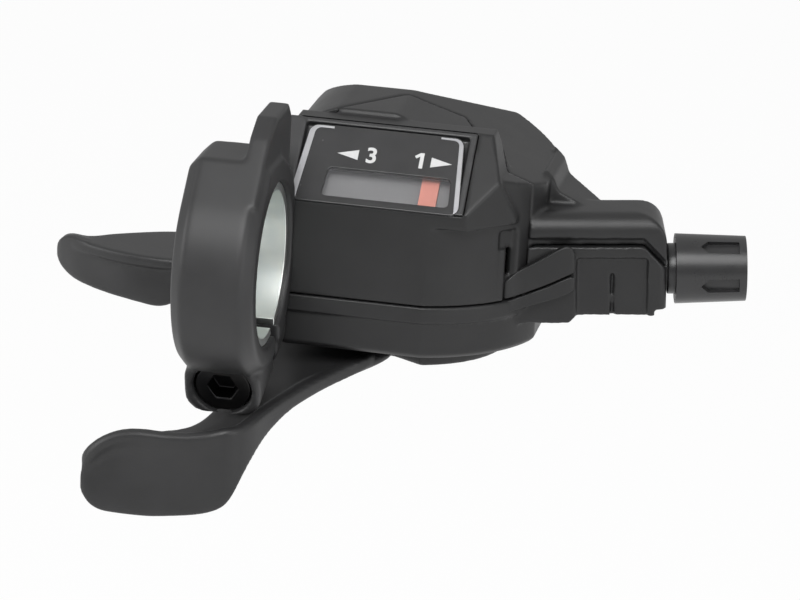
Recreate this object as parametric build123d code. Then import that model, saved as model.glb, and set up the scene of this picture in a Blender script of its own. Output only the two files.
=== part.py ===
from build123d import *
from math import atan2, cos, degrees, radians, sin, sqrt
import os

# Left-hand three-speed trigger gear shifter for a flat handlebar.
# Millimetres. Origin on the handlebar axis at the middle of the clamp,
# +X along the handlebar towards its centre, +Y forwards, +Z up along the lever pivot.

# Handlebar clamp
bar_d = 22.2
bar_fit = 0.05
band_t = 1.2
band_w = 10.8
seat_gap = 0.05
clamp_wall = 4.6
clamp_w = 12.4
rim_chamfer = 1.8
crest_z = 17.3
crest_back_angle = 65.0
ear_left_x = 2.2
ear_right_x = 5.4
ear_top_z = 22.4
ear_back_y = 11.5
ear_round = 2.2
slit_angle = -70.0
slit_w = 2.2
bolt_offset = 16.0
bolt_d = 5.0
bolt_hole_gap = 0.25
bolt_head_d = 8.5
bolt_head_h = 5.0
bolt_socket = 4.0
bolt_socket_depth = 2.6
bolt_grip = 5.4
bolt_tail = 7.9
head_recess = 0.8
nut_across = 8.0
nut_h = 4.0
lobe_half = 4.6
lobe_round = 3.2
flange_t = 6.2
flange_top_z = 12.0
flange_back_y = 23.4
flange_bevel = 4.0

# Pivot and housing
pivot_x = 20.0
pivot_y = 35.5
drum_r = 23.4
drum_left_x = 1.6
shoulder_x = 3.9
wall = 1.8
wall_y = 13.0
end_x = 42.2
seam_z = -8.4
part_gap = 0.12
lobe_left_z = 12.4
lobe_crest_x = 9.3
lobe_crest_z = 17.6
roof_break_x = 20.5
roof_end_z = 9.0
back_y = 42.0
back_end_z = 10.5
display_base_z = 4.2
display_right_x = 34.2
display_end_x = 39.0
display_end_z = 5.0
display_corner_x = 32.4
display_corner_y = 20.0
housing_round = 1.6
axle_boss_r = 5.2
axle_boss_z = 6.0

# Latch in the front wall
latch_angle = 320.0
latch_w = 3.4
latch_depth = 0.8
latch_top_z = 3.0
latch_post_r = 0.85
latch_post_top_z = 0.0
latch_slot_w = 0.9
latch_slot_low_z = -4.4

# Rear cover
rear_split_y = 27.0
rear_split_x = 9.3
rear_lobe_x = 17.4
rear_lobe_y = 38.5
rear_roof_x = 27.0
rear_roof_y = 40.5
rear_side_x = 36.5
rear_side_y = 24.2

# Display
slope_low_z = 6.8
slope_rise = 10.0
slope_run = 10.3
bezel_t = 2.2
bezel_left_x = 4.2
bezel_right_x = 31.8
lens_t = 1.1
lens_left_x = 5.0
lens_right_x = 30.6
lens_low = 0.7
lens_high = 13.4
window_left_x = 7.6
window_right_x = 29.2
window_low = 1.2
window_high = 9.0
dial_t = 0.8
dial_margin = 0.8
slot_low = 6.6
slot_high = 8.8

# Cable
cable_rise = 3.15
cable_turn = 10.7
groove_r = 10.0
cable_z = -6.5
cable_hole_r = 1.3

# Cable outlet, measured along the cable and up from it
outlet_start = 15.0
outlet_end = 41.3
outlet_half = 5.7
outlet_bottom = -6.0
outlet_heel = -7.1
outlet_heel_end = 26.4
outlet_toe = -5.0
outlet_toe_start = 39.5
outlet_split = 5.2
outlet_split_end = 37.8
outlet_split_drop = 3.7
outlet_lip = 6.4
outlet_lip_depth = 0.7
outlet_top = 10.0
outlet_round = 1.2
cap_round = 2.8
panel_start = 27.5
panel_end = 38.4
panel_top = 3.3
panel_depth = 0.7
rib_at = 33.0
rib_top = 0.8
rib_w = 0.6
fin_points = ((17.0, -5.0), (26.6, -3.0), (27.1, 3.6), (25.9, 5.1), (21.3, 3.3), (20.4, 0.0), (17.0, -1.0))
fin_proud = 0.8
fin_round = 0.5
fin_line = ((17.0, -3.6), (27.1, 0.3))
fin_line_w = 0.3

# Fairing behind the outlet
fairing_plan = ((36.5, 31.0), (36.5, 46.0), (42.5, 43.5), (51.2, 36.5), (51.2, 31.0))
fairing_side = ((36.5, 0.0), (51.2, 0.0), (51.2, 3.5), (43.6, 6.8), (42.6, 9.0), (41.0, 10.4), (36.5, 10.8))

# Barrel adjuster
shank_r = 3.4
shank_fit = 0.05
shank_len = 9.0
neck_r = 3.9
neck_len = 1.5
knob_r = 5.4
knob_tip_r = 4.75
knob_len = 10.9
flutes = 6
flute_r = 1.5
flute_len = 6.2
seat_r = 2.6
seat_depth = 6.0
adjuster_pocket_r = 4.3
adjuster_pocket = 3.6

# Stack on the pivot, from the lever up
axle_r = 2.5
run_gap = 0.06
axle_head_r = 4.6
axle_head_h = 2.0
axle_socket = 3.0
axle_top_z = 11.5
washer_t = 0.5
washer_r = 6.0
lever_t = 2.8
lever_top_z = -17.2
floor_z = -16.8
floor_t = 1.2
band_h = 2.6
band_step = 0.5
sleeve_r = 5.0
sleeve_flat = 4.2
body_gap = 0.3
drive_z = -14.2
drive_t = 1.0
ratchet_z = -13.0
ratchet_t = 1.4
release_z = -11.4
release_t = 1.1
plate_z = -10.0
plate_t = 1.1
ledge_w = 1.0
hub_r = 5.0
hub_flat = 4.2
flange_r = 11.8
spool_flange_t = 0.7
groove_w = 2.8
nipple_angle = 200.0
upper_hub_r = 4.4
arm_t = 1.2
socket_share = 0.7

# Ratchet and pawls
teeth = 16
teeth_wound = 2
tooth_r = 11.0
root_r = 9.0
pawl_pivot_r = 14.5
pawl_reach = 35.0
pawl_clear = 0.35
pawl_eye_r = 2.2
pawl_pin_r = 1.2
pawl_tip_w = 1.5
tooth_lead_share = 0.25
tooth_undercut_share = 0.05
winding_pawl_angle = 300.0
holding_pawl_angle = 130.0
lift_pin_r = 0.7
lift_pin_at = 13.1
lift_pin_lag = 22.0
lift_rise = 0.57

# Springs
lever_wire = 0.6
lever_coils = 1
lever_coil_r = 6.2
spool_wire = 1.0
spool_coils = 4
spool_coil_r = 6.2
release_wire = 0.6
release_coils = 4
release_coil_r = 1.9
release_post_r = 1.4
release_post_inset = 3.7
release_post_angle = 142.5
adjuster_wire = 0.7
adjuster_coils = 3
wire_sides = 8
coil_gap = 0.03

# Indicator
pointer_r = 17.5
pointer_angle = 19.4
pin_r = 0.8
pin_top_z = 4.2
flag_w = 2.7
flag_t = 0.5
flag_depth = 1.55
stem_t = 1.8
stem_depth = 5.6
link_top_z = 9.0
fork_w = 6.0
fork_z = 3.2
fork_t = 1.2
fork_front_y = 15.9
fork_back_y = 23.6
fork_gap = 0.35

# Thumb lever: centre, direction across, direction ahead, width, thickness
lever_hub_r = 16.5
lever_round = 2.4
lever_stations = (
    ((19.5, 28.0, -18.6), (0.85, -0.53, 0.0), (-0.53, -0.85, 0.0), 15.0, 2.8),
    ((15.8, 20.5, -18.8), (0.85, -0.53, 0.0), (-0.53, -0.85, 0.0), 13.0, 2.6),
    ((11.2, 12.2, -21.2), (0.83, -0.53, -0.16), (-0.50, -0.78, -0.38), 10.5, 2.6),
    ((6.0, 3.0, -24.8), (0.72, -0.45, -0.53), (-0.56, -0.74, -0.36), 9.2, 2.8),
    ((0.2, -5.0, -28.3), (0.34, -0.30, -0.89), (-0.80, -0.58, -0.12), 10.0, 3.6),
    ((-7.0, -9.0, -31.1), (0.0, 0.0, -1.0), (-1.0, -0.10, 0.0), 12.8, 5.0),
    ((-14.2, -9.6, -31.8), (0.0, 0.0, -1.0), (-1.0, 0.0, 0.0), 11.4, 4.4),
    ((-19.4, -9.6, -32.8), (0.0, 0.0, -1.0), (-1.0, 0.0, 0.0), 6.0, 3.0),
)

# Release lever: plan outline and the front of its blade
release_root = (2.2, 31.5)
release_bend = (-14.7, 28.2)
release_mid = (-26.0, 30.2)
release_tip = (-37.2, 37.4)
release_back_tip = (-35.6, 38.8)
release_back_mid = (-25.6, 40.4)
release_back_bend = (-17.3, 44.0)
release_back_root = (1.2, 42.5)
blade_t = 2.2
blade_low_z = -17.0
blade_tip_z = -15.6
blade_top_z = -9.7
blade_end_x = -1.6
blade_round = 2.4
release_slot_gap = 0.6
release_pull = 12.0

# Cover screws
screw_r = 1.2
screw_head_r = 2.2
screw_head_h = 1.3
screw_top_z = -1.0
screw_boss_r = 2.5
screw_angles = (35.0, 315.0)
screw_bite = 0.9

pivot = Vector(pivot_x, pivot_y, 0)
bore_r = bar_d / 2 + bar_fit
band_r = bore_r + band_t
ring_r = band_r + seat_gap + clamp_wall
half_w = clamp_w / 2
roof_z = slope_low_z + slope_rise
pivot_at = Pos(pivot_x, pivot_y, 0)


# Shared construction

def polygon(points):
    return make_face(Polyline(*points, close=True))


def slab(sketch, low, high):
    return extrude(Pos(0, 0, low) * sketch, high - low, dir=(0, 0, 1))


def prism_x(sketch, low, high):
    plane = Plane(origin=(low, 0, 0), x_dir=(0, 1, 0), z_dir=(1, 0, 0))
    return extrude(plane * sketch, high - low, dir=(1, 0, 0))


def prism_y(sketch, low, high):
    plane = Plane(origin=(0, low, 0), x_dir=(1, 0, 0), z_dir=(0, -1, 0))
    return extrude(plane * sketch, high - low, dir=(0, 1, 0))


def disc(radius, low, high, at=pivot_at):
    return slab(at * Circle(radius), low, high)


def block(x0, x1, y0, y1, z0, z1):
    return Pos(x0, y0, z0) * Box(x1 - x0, y1 - y0, z1 - z0, align=(Align.MIN, Align.MIN, Align.MIN))


def polar(radius, angle, z=0):
    return (pivot_x + radius * cos(radians(angle)), pivot_y + radius * sin(radians(angle)), z)


release_post_at = Pos(*polar(drum_r - wall - release_post_inset, release_post_angle))


def flatted(radius, flat):
    return Circle(radius) & Rectangle(4 * radius, 2 * flat)


def coil(wire, turns, radius, pitch):
    path = Helix(pitch=pitch, height=pitch * turns, radius=radius)
    section = Plane(origin=path @ 0, z_dir=path % 0) * RegularPolygon(wire / 2, wire_sides)
    return sweep(section, path=path, is_frenet=True)


def torsion_coil(wire, turns, radius, low):
    return Pos(0, 0, low + wire / 2) * coil(wire, turns, radius, wire + coil_gap)


# Slope of the display, measured along it and down from its face

slope_len = sqrt(slope_run ** 2 + slope_rise ** 2)
slope_tilt = degrees(atan2(slope_rise, slope_run))
slope_plane = Plane(
    origin=(0, wall_y, slope_low_z),
    x_dir=(1, 0, 0),
    z_dir=(0, -sin(radians(slope_tilt)), cos(radians(slope_tilt))),
)


def on_slope(x0, x1, along0, along1, depth0, depth1):
    sheet = Pos((x0 + x1) / 2, (along0 + along1) / 2, -depth1) * Rectangle(x1 - x0, along1 - along0)
    return slope_plane * extrude(sheet, depth1 - depth0, dir=(0, 0, 1))


# Cable direction

cable_dir = Vector(
    cos(radians(cable_rise)) * cos(radians(cable_turn)),
    cos(radians(cable_rise)) * sin(radians(cable_turn)),
    sin(radians(cable_rise)),
)
cable_start = Vector(pivot_x, pivot_y - groove_r, cable_z)


def along_cable(distance):
    return Plane(origin=cable_start + cable_dir * distance, x_dir=(0, 0, 1), z_dir=cable_dir)


def cable_rod(radius, start, end):
    return extrude(along_cable(start) * Circle(radius), end - start, dir=cable_dir)


# Clamp

bolt_dir = Vector(0, sin(radians(slit_angle)), -cos(radians(slit_angle)))
slit_dir = Vector(0, cos(radians(slit_angle)), sin(radians(slit_angle)))
bolt_point = slit_dir * bolt_offset
lobe_end = bolt_grip + bolt_head_h + head_recess


def bolt_rod(sketch, start, end):
    plane = Plane(origin=bolt_point + bolt_dir * start, x_dir=(1, 0, 0), z_dir=bolt_dir)
    return extrude(plane * sketch, end - start, dir=bolt_dir)


def slit_cut(reach):
    plane = Plane(origin=(0, 0, 0), x_dir=slit_dir, z_dir=(1, 0, 0))
    sheet = Pos(reach / 2, 0) * Rectangle(reach, slit_w)
    return extrude(plane * sheet, clamp_w, both=True)


def make_clamp_band():
    ring = Circle(band_r) - Circle(bore_r)
    band = extrude(Plane.YZ * ring, band_w / 2, both=True)
    return band - slit_cut(band_r + clamp_wall)


def make_clamp_cover():
    crease = ring_r / sqrt(2)
    heel = Vector(ring_r * cos(radians(crest_back_angle)), ring_r * sin(radians(crest_back_angle)))
    crest_back_y = heel.X - (crest_z - heel.Y) * heel.Y / heel.X
    crest = polygon(
        [(-crease, crease), (crest_z - 2 * crease, crest_z), (crest_back_y, crest_z), (heel.X, heel.Y), (0, 0)]
    )
    ring = prism_x(Circle(ring_r) + crest, -half_w, half_w)
    rims = ring.faces().filter_by(Axis.X).edges()
    ring = chamfer(rims, rim_chamfer)
    lobe = bolt_rod(Rectangle(clamp_w - head_recess, 2 * lobe_half), -bolt_tail, lobe_end)
    lobe = fillet(lobe.edges().filter_by(Axis((0, 0, 0), bolt_dir)), lobe_round)
    flange = polygon(
        [(crest_back_y, crest_z), (flange_back_y - flange_bevel, flange_top_z),
         (flange_back_y, flange_top_z - flange_bevel), (flange_back_y, seam_z), (crease, -crease), (0, 0)]
    )
    ear_front_y = ear_top_z - ear_round - 2 * crease
    ear = polygon(
        [(-crease, crease), (ear_front_y, ear_top_z - ear_round), (ear_front_y + 2 * ear_round, ear_top_z),
         (ear_back_y - ear_round, ear_top_z), (ear_back_y, ear_top_z - ear_round), (ear_back_y, 0), (0, 0)]
    )
    body = ring + lobe + prism_x(flange, shoulder_x - flange_t, shoulder_x)
    body += prism_x(ear, ear_left_x, ear_right_x)
    body -= block(shoulder_x, clamp_w, wall_y - seat_gap, 2 * ring_r, -2 * ring_r, 2 * ring_r)
    body -= prism_x(Circle(band_r + seat_gap), -clamp_w, clamp_w)
    body -= slit_cut(ring_r + 2 * lobe_half)
    body -= bolt_rod(Circle(bolt_d / 2 + bolt_hole_gap), -bolt_tail, lobe_end)
    body -= bolt_rod(Circle(bolt_head_d / 2 + bolt_hole_gap), bolt_grip, lobe_end)
    nut_pocket = RegularPolygon(nut_across / 2 + bolt_hole_gap, 6, major_radius=False)
    body -= bolt_rod(nut_pocket, -bolt_tail, nut_h - bolt_tail)
    return body


def make_clamp_bolt():
    bolt = bolt_rod(Circle(bolt_d / 2), -bolt_tail, bolt_grip)
    head = bolt_rod(Circle(bolt_head_d / 2), bolt_grip, bolt_grip + bolt_head_h)
    socket = RegularPolygon(bolt_socket / 2, 6, major_radius=False)
    top = bolt_grip + bolt_head_h
    return bolt + head - bolt_rod(socket, top - bolt_socket_depth, top)


def make_clamp_nut():
    sheet = RegularPolygon(nut_across / 2, 6, major_radius=False) - Circle(bolt_d / 2)
    return bolt_rod(sheet, -bolt_tail, nut_h - bolt_tail)


# Housing

def plan(inset):
    radius = drum_r - inset
    left = drum_left_x + inset
    right = end_x - inset
    front = wall_y + inset
    side = shoulder_x + inset
    step_y = flange_back_y + body_gap + inset
    front_half = sqrt(radius ** 2 - (pivot_y - front) ** 2)
    right_half = sqrt(radius ** 2 - (right - pivot_x) ** 2)
    left_half = sqrt(radius ** 2 - (pivot_x - left) ** 2)
    corner = (side, front)
    front_end = (pivot_x + front_half, front)
    right_low = (right, pivot_y - right_half)
    right_high = (right, pivot_y + right_half)
    left_high = (left, pivot_y + left_half)
    bend = (degrees(atan2(front - pivot_y, front_half)) + degrees(atan2(-right_half, right - pivot_x))) / 2
    return make_face([
        Line(corner, front_end),
        ThreePointArc(front_end, polar(radius, bend)[:2], right_low),
        Line(right_low, right_high),
        ThreePointArc(right_high, (pivot_x, pivot_y + radius), left_high),
        Line(left_high, (left, step_y)),
        Line((left, step_y), (side, step_y)),
        Line((side, step_y), corner),
    ])


def drum_form(inset):
    top = roof_z - inset
    far = pivot_y + drum_r
    left = drum_left_x - inset
    lobe = ThreePointArc((roof_break_x, top), (lobe_crest_x, lobe_crest_z - inset), (left, lobe_left_z - inset))
    side = make_face([
        Line((left, seam_z), (end_x, seam_z)),
        Line((end_x, seam_z), (end_x, roof_end_z - inset)),
        Line((end_x, roof_end_z - inset), (roof_break_x, top)),
        lobe,
        Line((left, lobe_left_z - inset), (left, seam_z)),
    ])
    lean = inset * (1 / cos(radians(slope_tilt)) - 1)
    rise = lobe_crest_z - roof_z
    end = polygon(
        [(wall_y, seam_z), (wall_y, slope_low_z - inset - lean), (wall_y + slope_run + lean, top),
         (rear_split_y, top), (rear_split_y, top + rise), (back_y, top + rise), (far, back_end_z - inset),
         (far, seam_z)]
    )
    drum = prism_y(side, wall_y, far) & prism_x(end, 0, end_x)
    return drum & slab(plan(inset), seam_z, lobe_crest_z)


def display_form(inset):
    top = roof_z - inset
    lean = inset * (1 / cos(radians(slope_tilt)) - 1)
    end = polygon(
        [(wall_y, seam_z), (wall_y, slope_low_z - inset - lean), (wall_y + slope_run + lean, top),
         (rear_split_y, top), (rear_split_y, seam_z)]
    )
    side = polygon(
        [(0, seam_z), (end_x, seam_z), (display_end_x - inset, display_end_z),
         (display_right_x - inset, top), (0, top)]
    )
    sheet = polygon(
        [(shoulder_x + inset, wall_y + inset), (display_corner_x - inset / 2, wall_y + inset),
         (display_end_x - inset, display_corner_y + inset / 2), (display_end_x - inset, rear_split_y),
         (shoulder_x + inset, rear_split_y)]
    )
    wedge = prism_x(end, 0, end_x) & prism_y(side, wall_y, rear_split_y)
    return wedge & slab(sheet, display_base_z + inset, roof_z)


def upper_form(inset):
    return drum_form(inset) + display_form(inset)


def rear_zone(gap):
    far = pivot_y + 2 * drum_r
    right = end_x + drum_r
    return polygon(
        [(-drum_r, rear_split_y + gap), (rear_split_x, rear_split_y + gap), (rear_lobe_x, rear_lobe_y + gap),
         (rear_roof_x, rear_roof_y + gap), (rear_side_x + gap, rear_side_y + gap), (right, rear_side_y + gap),
         (right, far), (-drum_r, far)]
    )


# Cable outlet, drawn on the upright plane through the cable

front_dir = Vector(sin(radians(cable_turn)), -cos(radians(cable_turn)), 0)
outlet_plane = Plane(origin=cable_start, x_dir=cable_dir, z_dir=front_dir)


def outlet_slab(sketch, back, front):
    return extrude(outlet_plane.offset(back) * sketch, front - back, dir=front_dir)


def outlet_cap():
    drop = outlet_split - outlet_split_drop
    outline = polygon(
        [(outlet_start, outlet_split), (outlet_split_end, outlet_split), (outlet_end, drop),
         (outlet_end, outlet_top), (outlet_start, outlet_top)]
    )
    cap = outlet_slab(outline, -outlet_half, outlet_half)
    cap = fillet(cap.faces().sort_by(Axis(cable_start, outlet_plane.y_dir))[-1].edges(), cap_round)
    lip = polygon(
        [(outlet_start, drop), (outlet_end, drop), (outlet_end, outlet_lip - outlet_split_drop),
         (outlet_split_end, outlet_lip), (outlet_start, outlet_lip)]
    )
    cap -= outlet_slab(lip, outlet_half - outlet_lip_depth, outlet_half)
    return cap - outlet_slab(lip, -outlet_half, outlet_lip_depth - outlet_half)


def outlet_block():
    top = outlet_split - part_gap
    drop = top - outlet_split_drop
    outline = polygon(
        [(outlet_start, outlet_heel), (outlet_heel_end, outlet_heel), (panel_start, outlet_bottom),
         (outlet_toe_start, outlet_bottom), (outlet_toe_start, outlet_toe), (outlet_end, outlet_toe),
         (outlet_end, drop), (outlet_split_end, top), (outlet_start, top)]
    )
    body = outlet_slab(outline, -outlet_half, outlet_half)
    uprights = body.edges().filter_by(Axis(cable_start, outlet_plane.y_dir))
    body = fillet(uprights.sort_by(Axis(cable_start, cable_dir))[-2:], outlet_round)
    panel_foot = [(panel_start, outlet_bottom), (panel_end, outlet_bottom)]
    panel = polygon(panel_foot + [(panel_end, panel_top), (panel_start, panel_top)])
    body -= outlet_slab(panel, outlet_half - panel_depth, outlet_half)
    rib = Pos(rib_at, outlet_bottom) * Rectangle(rib_w, 2 * (rib_top - outlet_bottom))
    body -= outlet_slab(rib, outlet_half - 2 * panel_depth, outlet_half)
    fin = outlet_slab(polygon(fin_points), 0, outlet_half + fin_proud)
    fin = fillet(fin.faces().sort_by(Axis(cable_start, front_dir))[-1].edges(), fin_round)
    fin_start, fin_end = fin_line
    line = make_face(offset(Line(fin_start, fin_end), fin_line_w / 2, side=Side.BOTH))
    return body + fin - outlet_slab(line, outlet_half + fin_proud - fin_line_w, outlet_half + fin_proud)


def screw_columns(radius, low, high):
    reach = wall + screw_bite * screw_boss_r
    sites = [polar(drum_r - reach, angle) for angle in screw_angles]
    sites.append((shoulder_x + reach, wall_y + reach, 0))
    return [disc(radius, low, high, Pos(x, y, 0)) for x, y, z in sites]


def bezel_pocket(gap):
    return on_slope(
        bezel_left_x - gap, bezel_right_x + gap, -gap, slope_len + gap, -bezel_t, bezel_t + gap
    )


def make_upper_shell():
    shell = upper_form(0) - upper_form(wall)
    boss = disc(axle_boss_r, axle_boss_z, roof_z - wall)
    shell += boss & upper_form(0)
    for column in screw_columns(screw_boss_r, plate_z + plate_t, screw_top_z + wall):
        shell += column & upper_form(0)
    for hole in screw_columns(screw_r, seam_z, screw_top_z):
        shell -= hole
    shell -= disc(axle_r + seat_gap, axle_boss_z, axle_top_z)
    shell -= cable_rod(cable_hole_r, 0, outlet_end)
    return shell


def latch_frame(shift):
    x, y, z = polar(drum_r, latch_angle)
    outward = Vector(cos(radians(latch_angle)), sin(radians(latch_angle)), 0)
    sideways = Vector(-outward.Y, outward.X, 0)
    return Plane(origin=Vector(x, y, seam_z) + sideways * shift, x_dir=sideways, z_dir=(0, 0, 1))


def latch_cut():
    recess = latch_frame(0) * Rectangle(latch_w, 2 * latch_depth)
    slot = latch_frame(latch_w / 2 - latch_slot_w) * Rectangle(latch_slot_w, 4 * wall)
    cut = extrude(recess, latch_top_z - seam_z, dir=(0, 0, 1))
    through = extrude(slot, latch_post_top_z - seam_z, dir=(0, 0, 1))
    return cut + (through - block(-drum_r, 2 * end_x, 0, pivot_y, seam_z, latch_slot_low_z))


def latch_post():
    post = latch_frame(latch_post_r - latch_w / 2) * (Pos(0, latch_depth) * Circle(latch_post_r))
    return extrude(post, latch_post_top_z - seam_z, dir=(0, 0, 1))


def make_upper_housing(shell):
    body = shell - slab(rear_zone(0), seam_z, lobe_crest_z)
    body -= bezel_pocket(part_gap)
    body -= on_slope(
        window_left_x - dial_margin, window_right_x + dial_margin,
        window_low - dial_margin, window_high + dial_margin, 0, bezel_t + 4 * wall,
    )
    return body - latch_cut() + (latch_post() & slab(plan(0), seam_z, roof_z))


def fairing_form():
    low = min(z for x, z in fairing_side)
    high = max(z for x, z in fairing_side)
    return slab(polygon(fairing_plan), low, high) & prism_y(polygon(fairing_side), 0, pivot_y + drum_r)


def make_rear_cover(shell):
    body = shell & slab(rear_zone(part_gap), seam_z, lobe_crest_z)
    outside = outlet_cap() + fairing_form() - outlet_block()
    outside -= slab(plan(wall / 2), seam_z, lobe_crest_z)
    outside -= slab(plan(-part_gap) - rear_zone(part_gap), seam_z, lobe_crest_z)
    body += outside
    body -= cable_rod(cable_hole_r, 0, outlet_end)
    body -= cable_rod(shank_r + shank_fit, outlet_end - shank_len - wall, outlet_end)
    return body - cable_rod(adjuster_pocket_r, outlet_end - adjuster_pocket, outlet_end + wall)


def make_lower_cover():
    pan = slab(plan(band_step), floor_z, seam_z)
    pan = chamfer(pan.faces().sort_by(Axis.Z)[0].edges(), housing_round / 2)
    pan += slab(plan(0), seam_z - band_h, seam_z)
    pan -= slab(plan(wall), floor_z + floor_t, seam_z)
    outlet = outlet_block() - slab(plan(wall / 2), floor_z, seam_z)
    pan += outlet - slab(plan(-part_gap), seam_z, roof_z)
    for column in screw_columns(screw_boss_r, floor_z + floor_t, plate_z):
        pan += column & slab(plan(wall / 2), floor_z, seam_z)
    pan += slab(plan(wall / 2) - plan(wall + ledge_w), plate_z - wall, plate_z)
    for hole in screw_columns(screw_r, floor_z, seam_z):
        pan -= hole
    for seat in screw_columns(screw_head_r + part_gap, floor_z, floor_z + screw_head_h):
        pan -= seat
    pan -= disc(sleeve_r + body_gap, floor_z, floor_z + floor_t)
    pan -= cable_rod(cable_hole_r, outlet_start, outlet_end)
    pan -= cable_rod(shank_r + shank_fit, outlet_end - shank_len - wall, outlet_end)
    pan -= cable_rod(adjuster_pocket_r, outlet_end - adjuster_pocket, outlet_end + wall)
    pan -= release_window()
    pan += disc(release_post_r, floor_z + floor_t, release_z - body_gap, release_post_at)
    return pan


def make_base_plate():
    plate = slab(plan(wall + part_gap), plate_z, plate_z + plate_t)
    plate -= disc(hub_r + body_gap, plate_z, plate_z + plate_t)
    for hole in screw_columns(screw_r + part_gap, plate_z, plate_z + plate_t):
        plate -= hole
    return plate


def make_cover_screws():
    heads = screw_columns(screw_head_r, floor_z, floor_z + screw_head_h)
    shanks = screw_columns(screw_r, floor_z + screw_head_h, screw_top_z)
    drives = screw_columns(screw_head_r / 3, floor_z, floor_z + screw_head_h / 2)
    return Compound(children=[head + shank - drive for head, shank, drive in zip(heads, shanks, drives)])


# Display

def make_display_bezel():
    frame = on_slope(bezel_left_x, bezel_right_x, 0, slope_len, 0, bezel_t)
    frame &= display_form(0)
    frame -= on_slope(
        lens_left_x - part_gap, lens_right_x + part_gap, lens_low - part_gap, lens_high + part_gap, 0, lens_t
    )
    frame -= on_slope(window_left_x, window_right_x, window_low, window_high, 0, bezel_t)
    return frame


def make_display_lens():
    lens = on_slope(lens_left_x, lens_right_x, lens_low, lens_high, 0, lens_t)
    return fillet(lens.faces().sort_by(Axis(slope_plane.origin, slope_plane.z_dir))[-1].edges(), lens_t / 3)


def make_dial_plate():
    dial = on_slope(
        window_left_x - dial_margin, window_right_x + dial_margin,
        window_low - dial_margin, window_high + dial_margin, bezel_t, bezel_t + dial_t,
    )
    slot = on_slope(window_left_x, window_right_x, slot_low, slot_high, bezel_t, bezel_t + dial_t)
    return dial - slot


pointer_x = pivot_x + pointer_r * sin(radians(pointer_angle))


def make_indicator():
    left = pointer_x - flag_w / 2
    right = pointer_x + flag_w / 2
    flag = on_slope(left, right, window_low + body_gap, window_high - body_gap, flag_depth, flag_depth + flag_t)
    stem = on_slope(left, right, slot_low + body_gap, slot_high - body_gap, flag_depth, stem_depth)
    link = block(left, right, fork_back_y - stem_t, fork_back_y, fork_z, link_top_z)
    fork_left = pointer_x - fork_w / 2
    fork = block(fork_left, fork_left + fork_w, fork_front_y, fork_back_y, fork_z, fork_z + fork_t)
    slot_half = pin_r + fork_gap
    slot_front = pivot_y - pointer_r - slot_half
    slot_back = pivot_y - pointer_r * cos(radians(teeth_wound * 360 / teeth - pointer_angle)) + slot_half
    fork -= block(pointer_x - slot_half, pointer_x + slot_half, slot_front, slot_back, fork_z, fork_z + fork_t)
    return flag + stem + link + fork


# Cable spool and its ratchet

def make_cable_spool():
    low = plate_z + plate_t + body_gap
    groove_low = cable_z - groove_w / 2
    groove_high = cable_z + groove_w / 2
    spool = disc(flange_r, groove_low - spool_flange_t, groove_low)
    spool += disc(flange_r, groove_high, groove_high + spool_flange_t)
    spool += disc(groove_r - cable_hole_r, groove_low, groove_high)
    spool += disc(upper_hub_r, groove_high, axle_boss_z - body_gap)
    spool += disc(hub_r, ratchet_z + ratchet_t, low)
    spool += slab(pivot_at * flatted(hub_r, hub_flat), ratchet_z, ratchet_z + ratchet_t)
    nipple_x, nipple_y, nipple_z = polar(groove_r - 2 * cable_hole_r, nipple_angle)
    spool -= disc(2 * cable_hole_r, groove_low - spool_flange_t, groove_high, Pos(nipple_x, nipple_y, 0))
    return spool - disc(axle_r + run_gap, ratchet_z, axle_boss_z)


def make_ratchet_wheel():
    pitch = 360 / teeth
    lead = winding_pawl_angle - pawl_reach - pitch * tooth_lead_share
    points = []
    for tooth in range(teeth):
        crest = lead + tooth * pitch
        points.append(polar(tooth_r, crest)[:2])
        points.append(polar(root_r, crest + pitch * tooth_undercut_share)[:2])
    wheel = polygon(points) - pivot_at * flatted(hub_r + seat_gap, hub_flat + seat_gap)
    return slab(wheel, ratchet_z, ratchet_z + ratchet_t)


def make_indicator_arm():
    low = cable_z + groove_w / 2 + spool_flange_t
    tip = polar(pointer_r, pointer_angle - 90)
    eye = pivot_at * Circle(upper_hub_r + wall) + Pos(tip[0], tip[1]) * Circle(pin_r + arm_t / 2)
    web = Line(pivot, Vector(*tip))
    bar = make_face(offset(web, pin_r + arm_t / 3, side=Side.BOTH))
    arm = slab(eye + bar - pivot_at * Circle(upper_hub_r + seat_gap), low, low + arm_t)
    return arm + disc(pin_r, low, pin_top_z, Pos(tip[0], tip[1], 0))


# Pawls

def pawl_solid(eye_angle, low, high):
    eye = polar(pawl_pivot_r, eye_angle)[:2]
    tip_angle = eye_angle - pawl_reach
    tip = polar(tooth_r + pawl_clear, tip_angle)[:2]
    heel = polar(tooth_r + pawl_clear + pawl_tip_w, tip_angle + pawl_tip_w)[:2]
    outer = polar(pawl_pivot_r + pawl_eye_r, eye_angle - pawl_reach / 4)[:2]
    inner = polar(pawl_pivot_r - pawl_tip_w, eye_angle - pawl_reach / 4)[:2]
    body = polygon([tip, heel, outer, eye, inner]) + Pos(*eye) * Circle(pawl_eye_r)
    return slab(body - Pos(*eye) * Circle(pawl_pin_r + run_gap), low, high)


def make_winding_pawl():
    return pawl_solid(winding_pawl_angle, ratchet_z, ratchet_z + ratchet_t)


def make_holding_pawl():
    pawl = pawl_solid(holding_pawl_angle, ratchet_z, ratchet_z + ratchet_t)
    x, y, z = polar(lift_pin_at, holding_pawl_angle - lift_pin_lag)
    return pawl + disc(lift_pin_r, ratchet_z, release_z + release_t, Pos(x, y, 0))


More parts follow.
